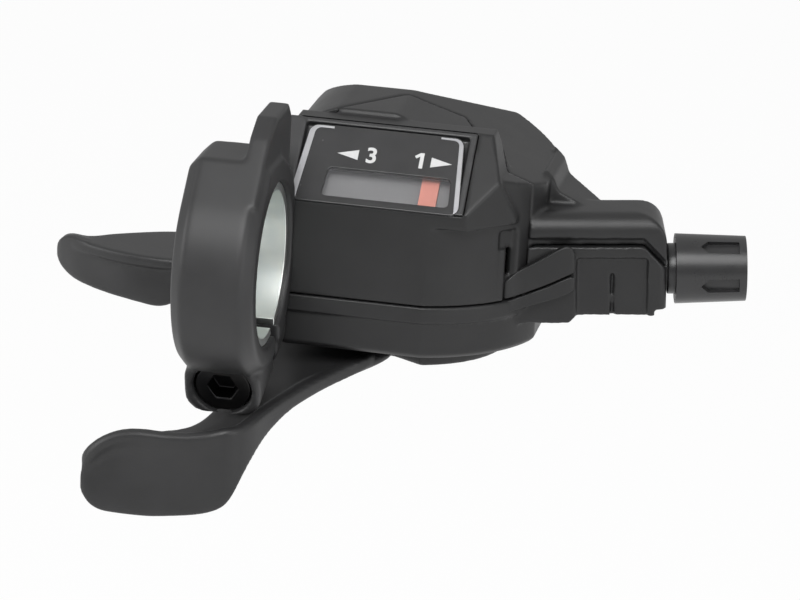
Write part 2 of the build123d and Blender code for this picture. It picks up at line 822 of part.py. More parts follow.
def make_drive_plate():
    eye = polar(pawl_pivot_r, winding_pawl_angle)
    web = make_face(offset(Line(pivot, Vector(*eye)), pawl_eye_r, side=Side.BOTH))
    sheet = pivot_at * Circle(sleeve_r + 2 * wall) + web + Pos(*eye[:2]) * Circle(pawl_eye_r)
    plate = slab(sheet, drive_z, drive_z + drive_t)
    plate += disc(sleeve_r, lever_top_z, drive_z)
    plate += slab(pivot_at * flatted(sleeve_r, sleeve_flat), lever_top_z - lever_t, lever_top_z)
    plate += disc(pawl_pin_r, drive_z, ratchet_z + ratchet_t, Pos(*eye[:2], 0))
    return plate - disc(axle_r + run_gap, lever_top_z - lever_t, drive_z + drive_t)


def make_holding_pawl_pin():
    x, y, z = polar(pawl_pivot_r, holding_pawl_angle)
    return disc(pawl_pin_r, floor_z + floor_t, plate_z, Pos(x, y, 0))


# Levers

def make_thumb_lever():
    sections = []
    for centre, across, ahead, width, thickness in lever_stations:
        plane = Plane(origin=centre, x_dir=across, z_dir=ahead)
        sections.append(plane * RectangleRounded(width, thickness, thickness / lever_round))
    hub = disc(lever_hub_r, lever_top_z - lever_t, lever_top_z)
    key = pivot_at * flatted(sleeve_r + seat_gap, sleeve_flat + seat_gap)
    return hub + loft(sections) - slab(key, lever_top_z - lever_t, lever_top_z)


def release_plan():
    front = ThreePointArc(release_bend, release_mid, release_tip)
    back = ThreePointArc(release_back_tip, release_back_mid, release_back_bend)
    edges = [
        Line((pivot_x, pivot_y - hub_r - wall), release_root), Line(release_root, release_bend), front,
        Line(release_tip, release_back_tip), back, Line(release_back_bend, release_back_root),
        Line(release_back_root, (pivot_x, pivot_y + hub_r + wall)),
        Line((pivot_x, pivot_y + hub_r + wall), (pivot_x, pivot_y - hub_r - wall)),
    ]
    return make_face(edges) + pivot_at * Circle(hub_r + 2 * wall) + release_cam()


def release_cam():
    contact = holding_pawl_angle - lift_pin_lag
    low = lift_pin_at - lift_pin_r - body_gap
    return polygon([
        polar(hub_r + wall, contact + release_pull)[:2],
        polar(low, contact + release_pull / 2)[:2],
        polar(low, contact)[:2],
        polar(low + lift_rise, contact - release_pull)[:2],
        polar(hub_r + wall, contact - 2 * release_pull)[:2],
    ])


def make_release_lever():
    bore = pivot_at * Circle(hub_r + run_gap)
    lever = slab(release_plan() - bore, release_z, release_z + release_t)
    front = ThreePointArc(release_bend, release_mid, release_tip)
    lead = Line((release_bend[0] / 2, release_bend[1] + wall / 2), release_bend)
    grip = release_plan() - Pos(blade_end_x + drum_r, pivot_y) * Rectangle(2 * drum_r, 4 * drum_r)
    skirt = make_face(offset(Wire([lead, front]), blade_t, side=Side.BOTH)) & grip
    tip_x = release_tip[0]
    outline = polygon(
        [(tip_x, blade_tip_z), (release_mid[0], blade_low_z), (blade_end_x, blade_low_z),
         (blade_end_x, blade_top_z), (tip_x, blade_top_z)]
    )
    corners = outline.vertices().sort_by(Axis.X)[:2]
    outline = fillet(corners, blade_round)
    blade = slab(grip, release_z, blade_top_z) + slab(skirt, blade_low_z, release_z)
    return lever + (blade & prism_y(outline, 0, pivot_y + drum_r))


def release_window():
    near_wall = release_plan() & Pos(drum_left_x, pivot_y) * Rectangle(4 * wall, 2 * drum_r)
    span = near_wall.bounding_box()
    swing = (pivot_x - drum_left_x) * sin(radians(release_pull))
    front = span.min.Y - swing - release_slot_gap
    back = span.max.Y + release_slot_gap
    low = release_z - release_slot_gap / 2
    return block(drum_left_x - wall, shoulder_x + 2 * wall, front, back, low, plate_z)


# Axle

def make_main_axle():
    lever_low = lever_top_z - lever_t
    axle = disc(axle_r, lever_low - washer_t, axle_top_z)
    axle += disc(axle_head_r, lever_low - washer_t - axle_head_h, lever_low - washer_t)
    socket = pivot_at * RegularPolygon(axle_socket / 2, 6, major_radius=False)
    head_low = lever_low - washer_t - axle_head_h
    return axle - slab(socket, head_low, head_low + axle_head_h * socket_share)


def make_axle_washer():
    high = lever_top_z - lever_t
    low = high - washer_t
    return disc(washer_r, low, high) - disc(axle_r + seat_gap, low, high)


# Springs

def make_lever_spring():
    return pivot_at * torsion_coil(lever_wire, lever_coils, lever_coil_r, floor_z + floor_t)


def make_spool_spring():
    low = cable_z + groove_w / 2 + spool_flange_t + arm_t + seat_gap
    return pivot_at * torsion_coil(spool_wire, spool_coils, spool_coil_r, low)


def make_release_spring():
    return release_post_at * torsion_coil(release_wire, release_coils, release_coil_r, floor_z + floor_t)


def make_adjuster_spring():
    pitch = (adjuster_pocket - 2 * adjuster_wire) / adjuster_coils
    spring = coil(adjuster_wire, adjuster_coils, (shank_r + adjuster_pocket_r) / 2, pitch)
    return along_cable(outlet_end - adjuster_pocket + adjuster_wire / 2 + coil_gap).location * spring


# Barrel adjuster

def make_barrel_adjuster():
    neck_end = outlet_end + neck_len
    knob_end = neck_end + knob_len
    barrel = cable_rod(shank_r, outlet_end - shank_len, neck_end)
    barrel += cable_rod(neck_r, outlet_end + body_gap, neck_end)
    collar = (knob_len - flute_len) / 2
    profile = polygon([(0, 0), (knob_r, 0), (knob_r, collar), (knob_tip_r, knob_len), (0, knob_len)])
    knob = revolve(Plane.XZ * profile, Axis.Z)
    for turn in range(flutes):
        groove = Rot(0, 0, turn * 360 / flutes) * Pos(knob_r + flute_r / 2, 0, knob_len - flute_len)
        knob -= groove * Cylinder(flute_r, knob_len, align=(Align.CENTER, Align.CENTER, Align.MIN))
    barrel += along_cable(neck_end).location * knob
    barrel -= cable_rod(seat_r, knob_end - seat_depth, knob_end)
    return barrel - cable_rod(cable_hole_r, outlet_end - shank_len, knob_end)


# Parts

os.makedirs("parts", exist_ok=True)
upper_shell = make_upper_shell()
parts = {
    "clamp_band": make_clamp_band(),
    "clamp_cover": make_clamp_cover(),
    "clamp_bolt": make_clamp_bolt(),
    "clamp_nut": make_clamp_nut(),
    "upper_housing": make_upper_housing(upper_shell),
    "rear_cover": make_rear_cover(upper_shell),
    "lower_cover": make_lower_cover(),
    "base_plate": make_base_plate(),
    "cover_screws": make_cover_screws(),
    "display_bezel": make_display_bezel(),
    "display_lens": make_display_lens(),
    "dial_plate": make_dial_plate(),
    "indicator": make_indicator(),
    "cable_spool": make_cable_spool(),
    "ratchet_wheel": make_ratchet_wheel(),
    "indicator_arm": make_indicator_arm(),
    "winding_pawl": make_winding_pawl(),
    "holding_pawl": make_holding_pawl(),
    "drive_plate": make_drive_plate(),
    "holding_pawl_pin": make_holding_pawl_pin(),
    "thumb_lever": make_thumb_lever(),
    "release_lever": make_release_lever(),
    "main_axle": make_main_axle(),
    "axle_washer": make_axle_washer(),
    "lever_spring": make_lever_spring(),
    "spool_spring": make_spool_spring(),
    "release_spring": make_release_spring(),
    "adjuster_spring": make_adjuster_spring(),
    "barrel_adjuster": make_barrel_adjuster(),
}
for name, shape in parts.items():
    export_step(shape, f"parts/{name}.step")
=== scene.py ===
"""Studio scene of a left-hand trigger gear shifter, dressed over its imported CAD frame."""

import logging
import math
from dataclasses import dataclass
from enum import Enum
from typing import Any, Sequence

import bpy
from mathutils import Matrix, Vector


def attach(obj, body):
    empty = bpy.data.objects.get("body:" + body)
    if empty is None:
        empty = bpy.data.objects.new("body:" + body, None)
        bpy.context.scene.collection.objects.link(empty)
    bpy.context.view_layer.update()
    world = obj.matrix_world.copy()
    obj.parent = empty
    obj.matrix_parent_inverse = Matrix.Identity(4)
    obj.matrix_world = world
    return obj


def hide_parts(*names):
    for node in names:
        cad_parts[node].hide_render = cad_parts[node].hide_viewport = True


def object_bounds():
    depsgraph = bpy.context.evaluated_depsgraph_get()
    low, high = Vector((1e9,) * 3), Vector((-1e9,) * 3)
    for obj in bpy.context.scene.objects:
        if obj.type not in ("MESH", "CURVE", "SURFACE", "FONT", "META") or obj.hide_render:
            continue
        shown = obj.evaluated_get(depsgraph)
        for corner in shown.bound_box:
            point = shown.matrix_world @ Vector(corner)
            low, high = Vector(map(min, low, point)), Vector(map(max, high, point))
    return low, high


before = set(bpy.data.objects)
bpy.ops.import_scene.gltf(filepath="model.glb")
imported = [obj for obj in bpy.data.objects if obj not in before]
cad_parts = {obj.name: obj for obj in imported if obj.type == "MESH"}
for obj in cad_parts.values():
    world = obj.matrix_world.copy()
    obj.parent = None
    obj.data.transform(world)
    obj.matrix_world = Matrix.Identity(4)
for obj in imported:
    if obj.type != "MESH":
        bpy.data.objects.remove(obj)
CAD_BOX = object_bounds()
LOG = logging.getLogger("shifter")
MM = 0.001
Pair = tuple[float, float]
Point = tuple[float, float, float]
Colour = tuple[float, float, float]


class Body(str, Enum):
    """The bodies of the frame that new pieces ride on."""

    HOUSING = "housing"
    THUMB = "thumb_lever"
    RELEASE = "release_lever"
    BARREL = "barrel"


# Shader building


class Socket:
    """A node's output that takes part in Python expressions."""

    def __init__(self, sheet: "NodeSheet", output: bpy.types.NodeSocket) -> None:
        """Keeps the output and the sheet that it belongs to."""
        self.sheet = sheet
        self.output = output

    def _math(self, operation: str, first: Any, second: Any) -> "Socket":
        """Adds one Math node.

        Args:
            operation: The Math node's operation.
            first: Its first value or socket.
            second: Its second value or socket.

        Returns:
            The node's output.
        """
        return self.sheet.add("ShaderNodeMath", {"operation": operation}, {0: first, 1: second})

    def __add__(self, other: Any) -> "Socket":
        """Sum."""
        return self._math("ADD", self, other)

    def __radd__(self, other: Any) -> "Socket":
        """Sum with a number in front."""
        return self._math("ADD", other, self)

    def __sub__(self, other: Any) -> "Socket":
        """Difference."""
        return self._math("SUBTRACT", self, other)

    def __rsub__(self, other: Any) -> "Socket":
        """Difference from a number."""
        return self._math("SUBTRACT", other, self)

    def __mul__(self, other: Any) -> "Socket":
        """Product."""
        return self._math("MULTIPLY", self, other)

    def __rmul__(self, other: Any) -> "Socket":
        """Product with a number in front."""
        return self._math("MULTIPLY", other, self)

    def __gt__(self, other: Any) -> "Socket":
        """One where this is the greater, otherwise zero."""
        return self._math("GREATER_THAN", self, other)


class NodeSheet:
    """One material's node tree, filled by code."""

    def __init__(self, name: str) -> None:
        """Starts an empty tree for a material of that name."""
        self.material = bpy.data.materials.new(name)
        self.material.use_nodes = True
        self.tree = self.material.node_tree
        self.tree.nodes.clear()

    @classmethod
    def of_world(cls, world: bpy.types.World) -> "NodeSheet":
        """Starts an empty tree for the surroundings."""
        sheet = cls.__new__(cls)
        sheet.material = None
        sheet.tree = world.node_tree
        sheet.tree.nodes.clear()
        return sheet

    def add(
        self,
        kind: str,
        settings: dict[str, Any] | None = None,
        inputs: dict[Any, Any] | None = None,
        output: Any = 0,
    ) -> Socket:
        """Adds a node of any type.

        Args:
            kind: The node's type.
            settings: Its own properties, and "stops" for a ramp.
            inputs: Values or sockets for its inputs, by name or number.
            output: The output that is returned, by name or number.

        Returns:
            The chosen output, ready for expressions.
        """
        node = self.tree.nodes.new(kind)
        for key, value in (settings or {}).items():
            if key == "stops":
                self._set_stops(node.color_ramp, value)
            else:
                setattr(node, key, value)
        for key, value in (inputs or {}).items():
            if isinstance(value, Socket):
                self.tree.links.new(value.output, node.inputs[key])
            else:
                node.inputs[key].default_value = value
        return Socket(self, node.outputs[output]) if len(node.outputs) else None

    @staticmethod
    def _set_stops(ramp: bpy.types.ColorRamp, stops: Sequence[Pair]) -> None:
        """Gives a ramp two grey stops, each a position and a grey value."""
        for element, (place, grey) in zip(ramp.elements, stops):
            element.position = place
            element.color = (grey, grey, grey, 1.0)

    def place(self) -> Socket:
        """Object coordinates of the piece."""
        return self.add("ShaderNodeTexCoord", output="Object")

    def noise(self, scale: float, detail: float = 2.0, stretch: Sequence[float] | None = None) -> Socket:
        """Noise on the piece.

        Args:
            scale: Features to the metre.
            detail: Octaves.
            stretch: Scale of each axis, where the grain has a direction.

        Returns:
            The noise value, about 0.5.
        """
        vector = self.place()
        if stretch is not None:
            vector = self.add("ShaderNodeMapping", inputs={"Vector": vector, "Scale": tuple(stretch)})
        return self.add("ShaderNodeTexNoise", inputs={"Vector": vector, "Scale": scale, "Detail": detail})

    def steps(self, value: Socket, low: float, high: float) -> Socket:
        """Ramp from 0 at low to 1 at high."""
        return self.add("ShaderNodeValToRGB", {"stops": ((low, 0.0), (high, 1.0))}, {0: value})

    def tint(self, share: Any, first: Sequence[float], second: Sequence[float]) -> Socket:
        """Mix of two colours.

        Args:
            share: Share of the second colour.
            first: The colour at share 0.
            second: The colour at share 1.

        Returns:
            The mixed colour.
        """
        settings = {"data_type": "RGBA"}
        inputs = {0: share, 6: (*first, 1.0), 7: (*second, 1.0)}
        return self.add("ShaderNodeMix", settings, inputs, 2)

    def bump(self, height: Socket, strength: float, distance: float) -> Socket:
        """Bump from a height."""
        inputs = {"Height": height, "Strength": strength, "Distance": distance}
        return self.add("ShaderNodeBump", inputs=inputs)

    def finish(self, surface: dict[str, Any]) -> bpy.types.Material:
        """Closes the tree with a Principled surface.

        Args:
            surface: Values and sockets of the Principled node.

        Returns:
            The finished material.
        """
        shader = self.add("ShaderNodeBsdfPrincipled", inputs=surface)
        self.add("ShaderNodeOutputMaterial", inputs={"Surface": shader})
        return self.material


def grey(level: float) -> Colour:
    """A neutral colour, a trace cooler than pure grey."""
    return (level, level, level * 1.03)


@dataclass(frozen=True)
class MouldedPlastic:
    """Spark-eroded matte plastic with a fine even grain."""

    name: str
    level: float
    roughness: float
    grain: float = 7000.0
    relief: float = 0.22
    grain_depth: float = 0.00004
    clouding: float = 0.16
    cloud_scale: float = 160.0
    cloud_band: Pair = (0.3, 0.7)
    speck_band: Pair = (0.68, 0.74)

    def material(self) -> bpy.types.Material:
        """Builds the plastic's material."""
        sheet = NodeSheet(self.name)
        fine = sheet.noise(self.grain, 3.0)
        broad = sheet.noise(self.cloud_scale, 3.0)
        specks = sheet.steps(sheet.noise(self.grain / 3, 1.0), *self.speck_band)
        shade = sheet.steps(broad, *self.cloud_band) * 0.8 + specks * 0.2
        dark, light = grey(self.level * (1 - self.clouding)), grey(self.level * (1 + self.clouding))
        return sheet.finish(
            {
                "Base Color": sheet.tint(shade, dark, light),
                "Roughness": self.roughness + (broad - 0.5) * 0.12 + (fine - 0.5) * 0.1,
                "Specular IOR Level": 0.45,
                "Normal": sheet.bump(fine, self.relief, self.grain_depth),
            }
        )


@dataclass(frozen=True)
class GlossPlastic:
    """Polished plastic with hairline handling marks."""

    name: str
    level: float
    roughness: float
    alpha: float = 1.0
    hair_scale: float = 900.0
    hair_stretch: Point = (1.0, 0.06, 1.0)
    hair_band: Pair = (0.6, 0.72)
    cloud_scale: float = 220.0
    cloud_depth: float = 0.0001

    def material(self) -> bpy.types.Material:
        """Builds the polished plastic's material."""
        sheet = NodeSheet(self.name)
        hairs = sheet.steps(sheet.noise(self.hair_scale, 4.0, self.hair_stretch), *self.hair_band)
        clouds = sheet.noise(self.cloud_scale)
        colour = sheet.tint(clouds, grey(self.level * 0.8), grey(self.level * 1.2))
        return sheet.finish(
            {
                "Base Color": colour,
                "Roughness": self.roughness + hairs * 0.015 + clouds * 0.03,
                "Alpha": self.alpha,
                "Normal": sheet.bump(clouds, 0.04, self.cloud_depth),
            }
        )


@dataclass(frozen=True)
class PlatedSteel:
    """Metal with drawn or turned lines and uneven plating."""

    name: str
    colour: Colour
    shade: Colour
    roughness: float
    line_scale: float = 1400.0
    line_stretch: Point = (6.0, 1.0, 1.0)
    line_depth: float = 0.00003
    bloom_scale: float = 260.0
    bloom_band: Pair = (0.35, 0.68)

    def material(self) -> bpy.types.Material:
        """Builds the metal's material."""
        sheet = NodeSheet(self.name)
        lines = sheet.noise(self.line_scale, 4.0, self.line_stretch)
        bloom = sheet.noise(self.bloom_scale, 3.0)
        colour = sheet.tint(sheet.steps(bloom, *self.bloom_band), self.colour, self.shade)
        return sheet.finish(
            {
                "Base Color": colour,
                "Metallic": 1.0,
                "Roughness": self.roughness + (lines - 0.5) * 0.16 + (bloom - 0.5) * 0.1,
                "Normal": sheet.bump(lines, 0.12, self.line_depth),
            }
        )


@dataclass(frozen=True)
class PaintedMark:
    """Printed or moulded-in colour with a faint mottle."""

    name: str
    colour: Colour
    roughness: float
    mottle_scale: float = 1800.0
    mottle_depth: float = 0.00003
    darkening: float = 0.86

    def material(self) -> bpy.types.Material:
        """Builds the mark's material."""
        sheet = NodeSheet(self.name)
        mottle = sheet.noise(self.mottle_scale)
        darker = tuple(part * self.darkening for part in self.colour)
        return sheet.finish(
            {
                "Base Color": sheet.tint(mottle, darker, self.colour),
                "Roughness": self.roughness + (mottle - 0.5) * 0.1,
                "Normal": sheet.bump(mottle, 0.06, self.mottle_depth),
            }
        )


class Finishes:
    """Every finish of the shifter, built once."""

    def __init__(self) -> None:
        """Builds the materials."""
        self.housing = MouldedPlastic("housing_plastic", 0.013, 0.44).material()
        self.clamp = MouldedPlastic("clamp_plastic", 0.023, 0.46).material()
        # The bezel's own black plastic is lightened here with painted light, standing in for the light on its
        # upward faces.
        self.bezel = MouldedPlastic("bezel_plastic_with_painted_light", 0.036, 0.36, relief=0.12).material()
        self.lever = MouldedPlastic("lever_plastic", 0.020, 0.44).material()
        # The adjuster's own dark plastic is lightened a little with a painted highlight, standing in for the gloss
        # highlight on the knob's front.
        self.adjuster = MouldedPlastic("adjuster_plastic_with_painted_highlight", 0.026, 0.30, relief=0.10).material()
        self.lens = GlossPlastic("lens_black", 0.028, 0.24).material()
        self.pane = GlossPlastic("window_pane", 0.25, 0.07, alpha=0.14).material()
        self.dial = PaintedMark("dial_grey", (0.27, 0.27, 0.275), 0.5).material()
        # The pointer's own red is lightened with painted glare, standing in for the glare on the clear pane over
        # it.
        self.pointer_with_glare = PaintedMark("pointer_red", (1.0, 0.36, 0.27), 0.42).material()
        self.print = PaintedMark("print_white", (0.60, 0.60, 0.60), 0.45).material()
        self.trim = PlatedSteel("bright_trim", (0.50, 0.50, 0.51), (0.42, 0.42, 0.44), 0.32).material()
        self.zinc = PlatedSteel("zinc_plate", (0.84, 0.88, 0.87), (0.90, 0.92, 0.88), 0.34).material()
        oxide = PlatedSteel("black_oxide", (0.030, 0.030, 0.032), (0.045, 0.044, 0.043), 0.36)
        self.black_steel = oxide.material()
        self.steel = PlatedSteel("stamped_steel", (0.52, 0.52, 0.53), (0.60, 0.59, 0.57), 0.34).material()
        self.spool = MouldedPlastic("spool_nylon", 0.30, 0.45).material()


# Modelling tools


@dataclass(frozen=True)
class PlateSize:
    """Size of a flat plate, in millimetres.

    It holds its two sides and two ends in the plane, its under side and upper side off the plane, and the radius of
    its corners.
    """

    across: Pair
    along: Pair
    off: Pair
    corner: float


class Bench:
    """Modelling steps shared by the pieces, with lengths in millimetres and angles in degrees."""

    MERGE: float = 0.002
    FLAT: float = 1.0
    SHARP: float = 28.0
    EDGE_STEPS: int = 2
    CORNER_STEPS: int = 6
    POINT_SHARE: float = 0.98
    SOFTENING: float = 0.5
    THINNING: float = 0.45

    @staticmethod
    def clear() -> None:
        """Leaves edit mode and deselects everything."""
        if bpy.context.object is not None and bpy.context.object.mode != "OBJECT":
            bpy.ops.object.mode_set(mode="OBJECT")
        bpy.ops.object.select_all(action="DESELECT")

    @classmethod
    def pick(cls, piece: bpy.types.Object) -> None:
        """Makes one piece the active and only selected one."""
        cls.clear()
        piece.select_set(True)
        bpy.context.view_layer.objects.active = piece

    @classmethod
    def apply(cls, piece: bpy.types.Object, kind: str, settings: dict[str, Any]) -> None:
        """Adds a modifier and applies it.

        Args:
            piece: The piece that it changes.
            kind: The modifier's type.
            settings: The modifier's properties.
        """
        cls.pick(piece)
        modifier = piece.modifiers.new(kind.lower(), kind)
        for key, value in settings.items():
            setattr(modifier, key, value)
        bpy.ops.object.modifier_apply(modifier=modifier.name)

    @classmethod
    def smooth(cls, piece: bpy.types.Object, angle: float = 35.0) -> None:
        """Smooths the shading where faces meet at less than the angle, and keeps flat faces flat."""
        cls.pick(piece)
        bpy.ops.object.shade_smooth_by_angle(angle=math.radians(angle))
        cls.apply(piece, "WEIGHTED_NORMAL", {"keep_sharp": True, "weight": 80})

    @classmethod
    def from_node(cls, node: str, name: str) -> bpy.types.Object:
        """Copies a CAD node and merges its triangles into clean faces.

        Args:
            node: The CAD node's name.
            name: The new piece's name.

        Returns:
            The merged copy.
        """
        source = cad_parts[node]
        piece = bpy.data.objects.new(name, source.data.copy())
        bpy.context.scene.collection.objects.link(piece)
        piece.data.materials.clear()
        cls.pick(piece)
        bpy.ops.object.mode_set(mode="EDIT")
        bpy.ops.mesh.select_all(action="SELECT")
        bpy.ops.mesh.remove_doubles(threshold=cls.MERGE * MM)
        bpy.ops.mesh.dissolve_limited(angle_limit=math.radians(cls.FLAT))
        bpy.ops.object.mode_set(mode="OBJECT")
        return piece

    @classmethod
    def round_edges(cls, piece: bpy.types.Object, width: float, angle: float = SHARP) -> None:
        """Rounds a piece's sharp edges.

        Args:
            piece: The piece.
            width: Width of the rounding.
            angle: Least angle of an edge that is rounded.
        """
        settings = {
            "width": width * MM,
            "segments": cls.EDGE_STEPS,
            "limit_method": "ANGLE",
            "angle_limit": math.radians(angle),
            "use_clamp_overlap": True,
            "harden_normals": False,
        }
        cls.apply(piece, "BEVEL", settings)

    @classmethod
    def flat(cls, name: str, across: Pair, along: Pair, height: float) -> bpy.types.Object:
        """Starts a flat rectangle and leaves it in edit mode, selected all over.

        Args:
            name: The shape's name.
            across: Its two sides in the plane.
            along: Its two ends in the plane.
            height: Its height off the plane.

        Returns:
            The rectangle.
        """
        cls.clear()
        bpy.ops.mesh.primitive_plane_add(size=MM)
        piece = bpy.context.object
        piece.name = name
        bpy.ops.object.mode_set(mode="EDIT")
        bpy.ops.mesh.select_all(action="SELECT")
        bpy.ops.transform.resize(value=(across[1] - across[0], along[1] - along[0], 1.0))
        bpy.ops.transform.translate(value=(sum(across) / 2 * MM, sum(along) / 2 * MM, height * MM))
        return piece

    @staticmethod
    def thicken(rise: float) -> None:
        """Extrudes the flat shape in edit mode and turns its faces outwards."""
        bpy.ops.mesh.select_all(action="SELECT")
        bpy.ops.mesh.extrude_region_move(TRANSFORM_OT_translate={"value": (0.0, 0.0, rise * MM)})
        bpy.ops.mesh.select_all(action="SELECT")
        bpy.ops.mesh.normals_make_consistent(inside=False)

    @classmethod
    def plate(cls, name: str, size: PlateSize, place: Matrix, taper: float = 0.0) -> bpy.types.Object:
        """Models a flat plate with rounded corners.

        Args:
            name: The plate's name.
            size: Its size.
            place: Where the plane lies.
            taper: Share of its width that it loses in each millimetre along.

        Returns:
            The plate, with its place in its mesh.
        """
        plate = cls.flat(name, size.across, size.along, size.off[0])
        bpy.ops.mesh.bevel(offset=size.corner * MM, segments=cls.CORNER_STEPS, affect="VERTICES")
        cls.thicken(size.off[1] - size.off[0])
        bpy.ops.object.mode_set(mode="OBJECT")
        middle = (sum(size.across) / 2 * MM, sum(size.along) / 2 * MM)
        for vertex in plate.data.vertices:
            share = 1 - taper * (vertex.co.y - middle[1]) / MM
            vertex.co.x = middle[0] + (vertex.co.x - middle[0]) * share
        cls.settle(plate, place)
        return plate

    @classmethod
    def pointed(cls, name: str, reach: Pair, half: float, off: Pair, place: Matrix) -> bpy.types.Object:
        """Models a plate that ends in a point on its first side.

        Args:
            name: The plate's name.
            reach: Its point and its far end.
            half: Half of its width.
            off: Its under side and upper side, off the plane.
            place: Where the plane lies.

        Returns:
            The plate, with its place in its mesh.
        """
        plate = cls.flat(name, reach, (-half, half), off[0])
        bpy.ops.mesh.select_mode(type="VERT")
        bpy.ops.mesh.select_all(action="DESELECT")
        bpy.ops.object.mode_set(mode="OBJECT")
        for vertex in plate.data.vertices:
            vertex.select = vertex.co.x < sum(reach) / 2 * MM
        bpy.ops.object.mode_set(mode="EDIT")
        bpy.ops.mesh.bevel(offset=cls.POINT_SHARE * half * MM, segments=1, affect="VERTICES")
        cls.thicken(off[1] - off[0])
        cls.settle(plate, place)
        return plate

    @classmethod
    def settle(cls, piece: bpy.types.Object, place: Matrix) -> None:
        """Puts a piece in its place and keeps that place in its mesh."""
        cls.pick(piece)
        piece.matrix_world = place @ piece.matrix_world
        bpy.ops.object.transform_apply(location=True, rotation=True, scale=True)

    @classmethod
    def cut(cls, piece: bpy.types.Object, cutter: bpy.types.Object) -> None:
        """Cuts one shape out of a piece and clears the cutter away."""
        cls.apply(piece, "BOOLEAN", {"operation": "DIFFERENCE", "object": cutter, "solver": "EXACT"})
        bpy.data.objects.remove(cutter)

    @classmethod
    def remould(cls, piece: bpy.types.Object, voxel: float, rounds: int) -> None:
        """Melts a piece into one moulded skin with soft edges.

        Args:
            piece: The piece.
            voxel: Size of the skin's cells.
            rounds: Smoothing rounds.
        """
        cls.apply(piece, "REMESH", {"mode": "VOXEL", "voxel_size": voxel * MM})
        cls.apply(piece, "SMOOTH", {"factor": cls.SOFTENING, "iterations": rounds})
        cls.apply(piece, "DECIMATE", {"ratio": cls.THINNING})
        cls.pick(piece)
        bpy.ops.object.shade_smooth()

    @classmethod
    def trim(cls, piece: bpy.types.Object, at: Sequence[float], facing: Sequence[float]) -> None:
        """Cuts a piece along a plane and closes the cut.

        Args:
            piece: The piece.
            at: A point of the plane.
            facing: Direction of the side that is cut away.
        """
        cls.pick(piece)
        bpy.ops.object.mode_set(mode="EDIT")
        bpy.ops.mesh.select_all(action="SELECT")
        plane = {"plane_co": Vector(at) * MM, "plane_no": Vector(facing)}
        bpy.ops.mesh.bisect(**plane, use_fill=True, clear_outer=True, clear_inner=False)
        bpy.ops.object.mode_set(mode="OBJECT")

    @classmethod
    def join(cls, parts: Sequence[bpy.types.Object], name: str) -> bpy.types.Object:
        """Joins shapes into one piece of that name."""
        cls.pick(parts[0])
        for part in parts[1:]:
            part.select_set(True)
        bpy.ops.object.join()
        parts[0].name = name
        return parts[0]


class Piece:
    """A dressed piece that rides on a body of the frame."""

    def __init__(self, shape: bpy.types.Object, body: Body, finish: bpy.types.Material) -> None:
        """Dresses a shape and sets it on its body."""
        self.shape = shape
        shape.data.materials.clear()
        shape.data.materials.append(finish)
        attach(shape, body.value)
        LOG.info("%s on %s", shape.name, body.value)

    def stands_for(self, *nodes: str) -> "Piece":
        """Hides the CAD nodes that this piece stands for."""
        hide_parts(*nodes)
        return self


@dataclass(frozen=True)
class RoundedCopy:
    """A CAD node whose copy gets moulded edges."""

    node: str
    body: Body
    slot: str
    edge: float

    def build(self, finish: bpy.types.Material) -> Piece:
        """Makes the copy, rounds it and dresses it.

        Args:
            finish: The material it gets.

        Returns:
            The dressed piece.
        """
        shape = Bench.from_node(self.node, f"{self.node}_moulded")
        Bench.round_edges(shape, self.edge)
        Bench.smooth(shape)
        piece = Piece(shape, self.body, finish).stands_for(self.node)
        return piece


@dataclass(frozen=True)
class Moulding:
    """A CAD node whose copy is melted into a moulded skin."""

    node: str
    body: Body
    slot: str
    voxel: float
    rounds: int

    def start(self) -> bpy.types.Object:
        """Copies the node."""
        return Bench.from_node(self.node, f"{self.node}_moulded")

    def dress(self, shape: bpy.types.Object, finish: bpy.types.Material) -> Piece:
        """Moulds a shape and dresses it in the node's place.

        Args:
            shape: The shape, cut and joined as it should be.
            finish: The material it gets.

        Returns:
            The dressed piece.
        """
        Bench.remould(shape, self.voxel, self.rounds)
        piece = Piece(shape, self.body, finish).stands_for(self.node)
        return piece


@dataclass(frozen=True)
class BentPlate:
    """A moulded plate that bends along its length, given by its two edges at each station, in millimetres."""

    name: str
    edges: tuple[tuple[Point, Point], ...]
    thickness: float
    rows: tuple[float, ...] = (-0.02, 0.15, 0.5, 0.85, 1.02)
    hollow: tuple[float, ...] = ()
    hollow_rows: tuple[float, ...] = ()
    fineness: int = 2

    def at(self, station: int, row: int) -> Vector:
        """Place of one point of the plate's face."""
        first, second = (Vector(edge) for edge in self.edges[station])
        point = first.lerp(second, self.rows[row])
        if self.hollow:
            point.y += self.hollow[station] * self.hollow_rows[row]
        return point * MM

    def build(self) -> bpy.types.Object:
        """Models the plate from a flat grid and rounds it all over."""
        Bench.clear()
        steps, rises = len(self.edges) - 1, len(self.rows) - 1
        bpy.ops.mesh.primitive_grid_add(x_subdivisions=steps, y_subdivisions=rises, size=MM)
        plate = bpy.context.object
        plate.name = self.name
        for number, vertex in enumerate(plate.data.vertices):
            row, station = divmod(number, steps + 1)
            vertex.co = self.at(station, row)
        Bench.apply(plate, "SOLIDIFY", {"thickness": self.thickness * MM, "offset": -1.0})
        Bench.apply(plate, "SUBSURF", {"levels": self.fineness, "render_levels": self.fineness})
        return plate


# Bent plates of the cable outlet and the levers


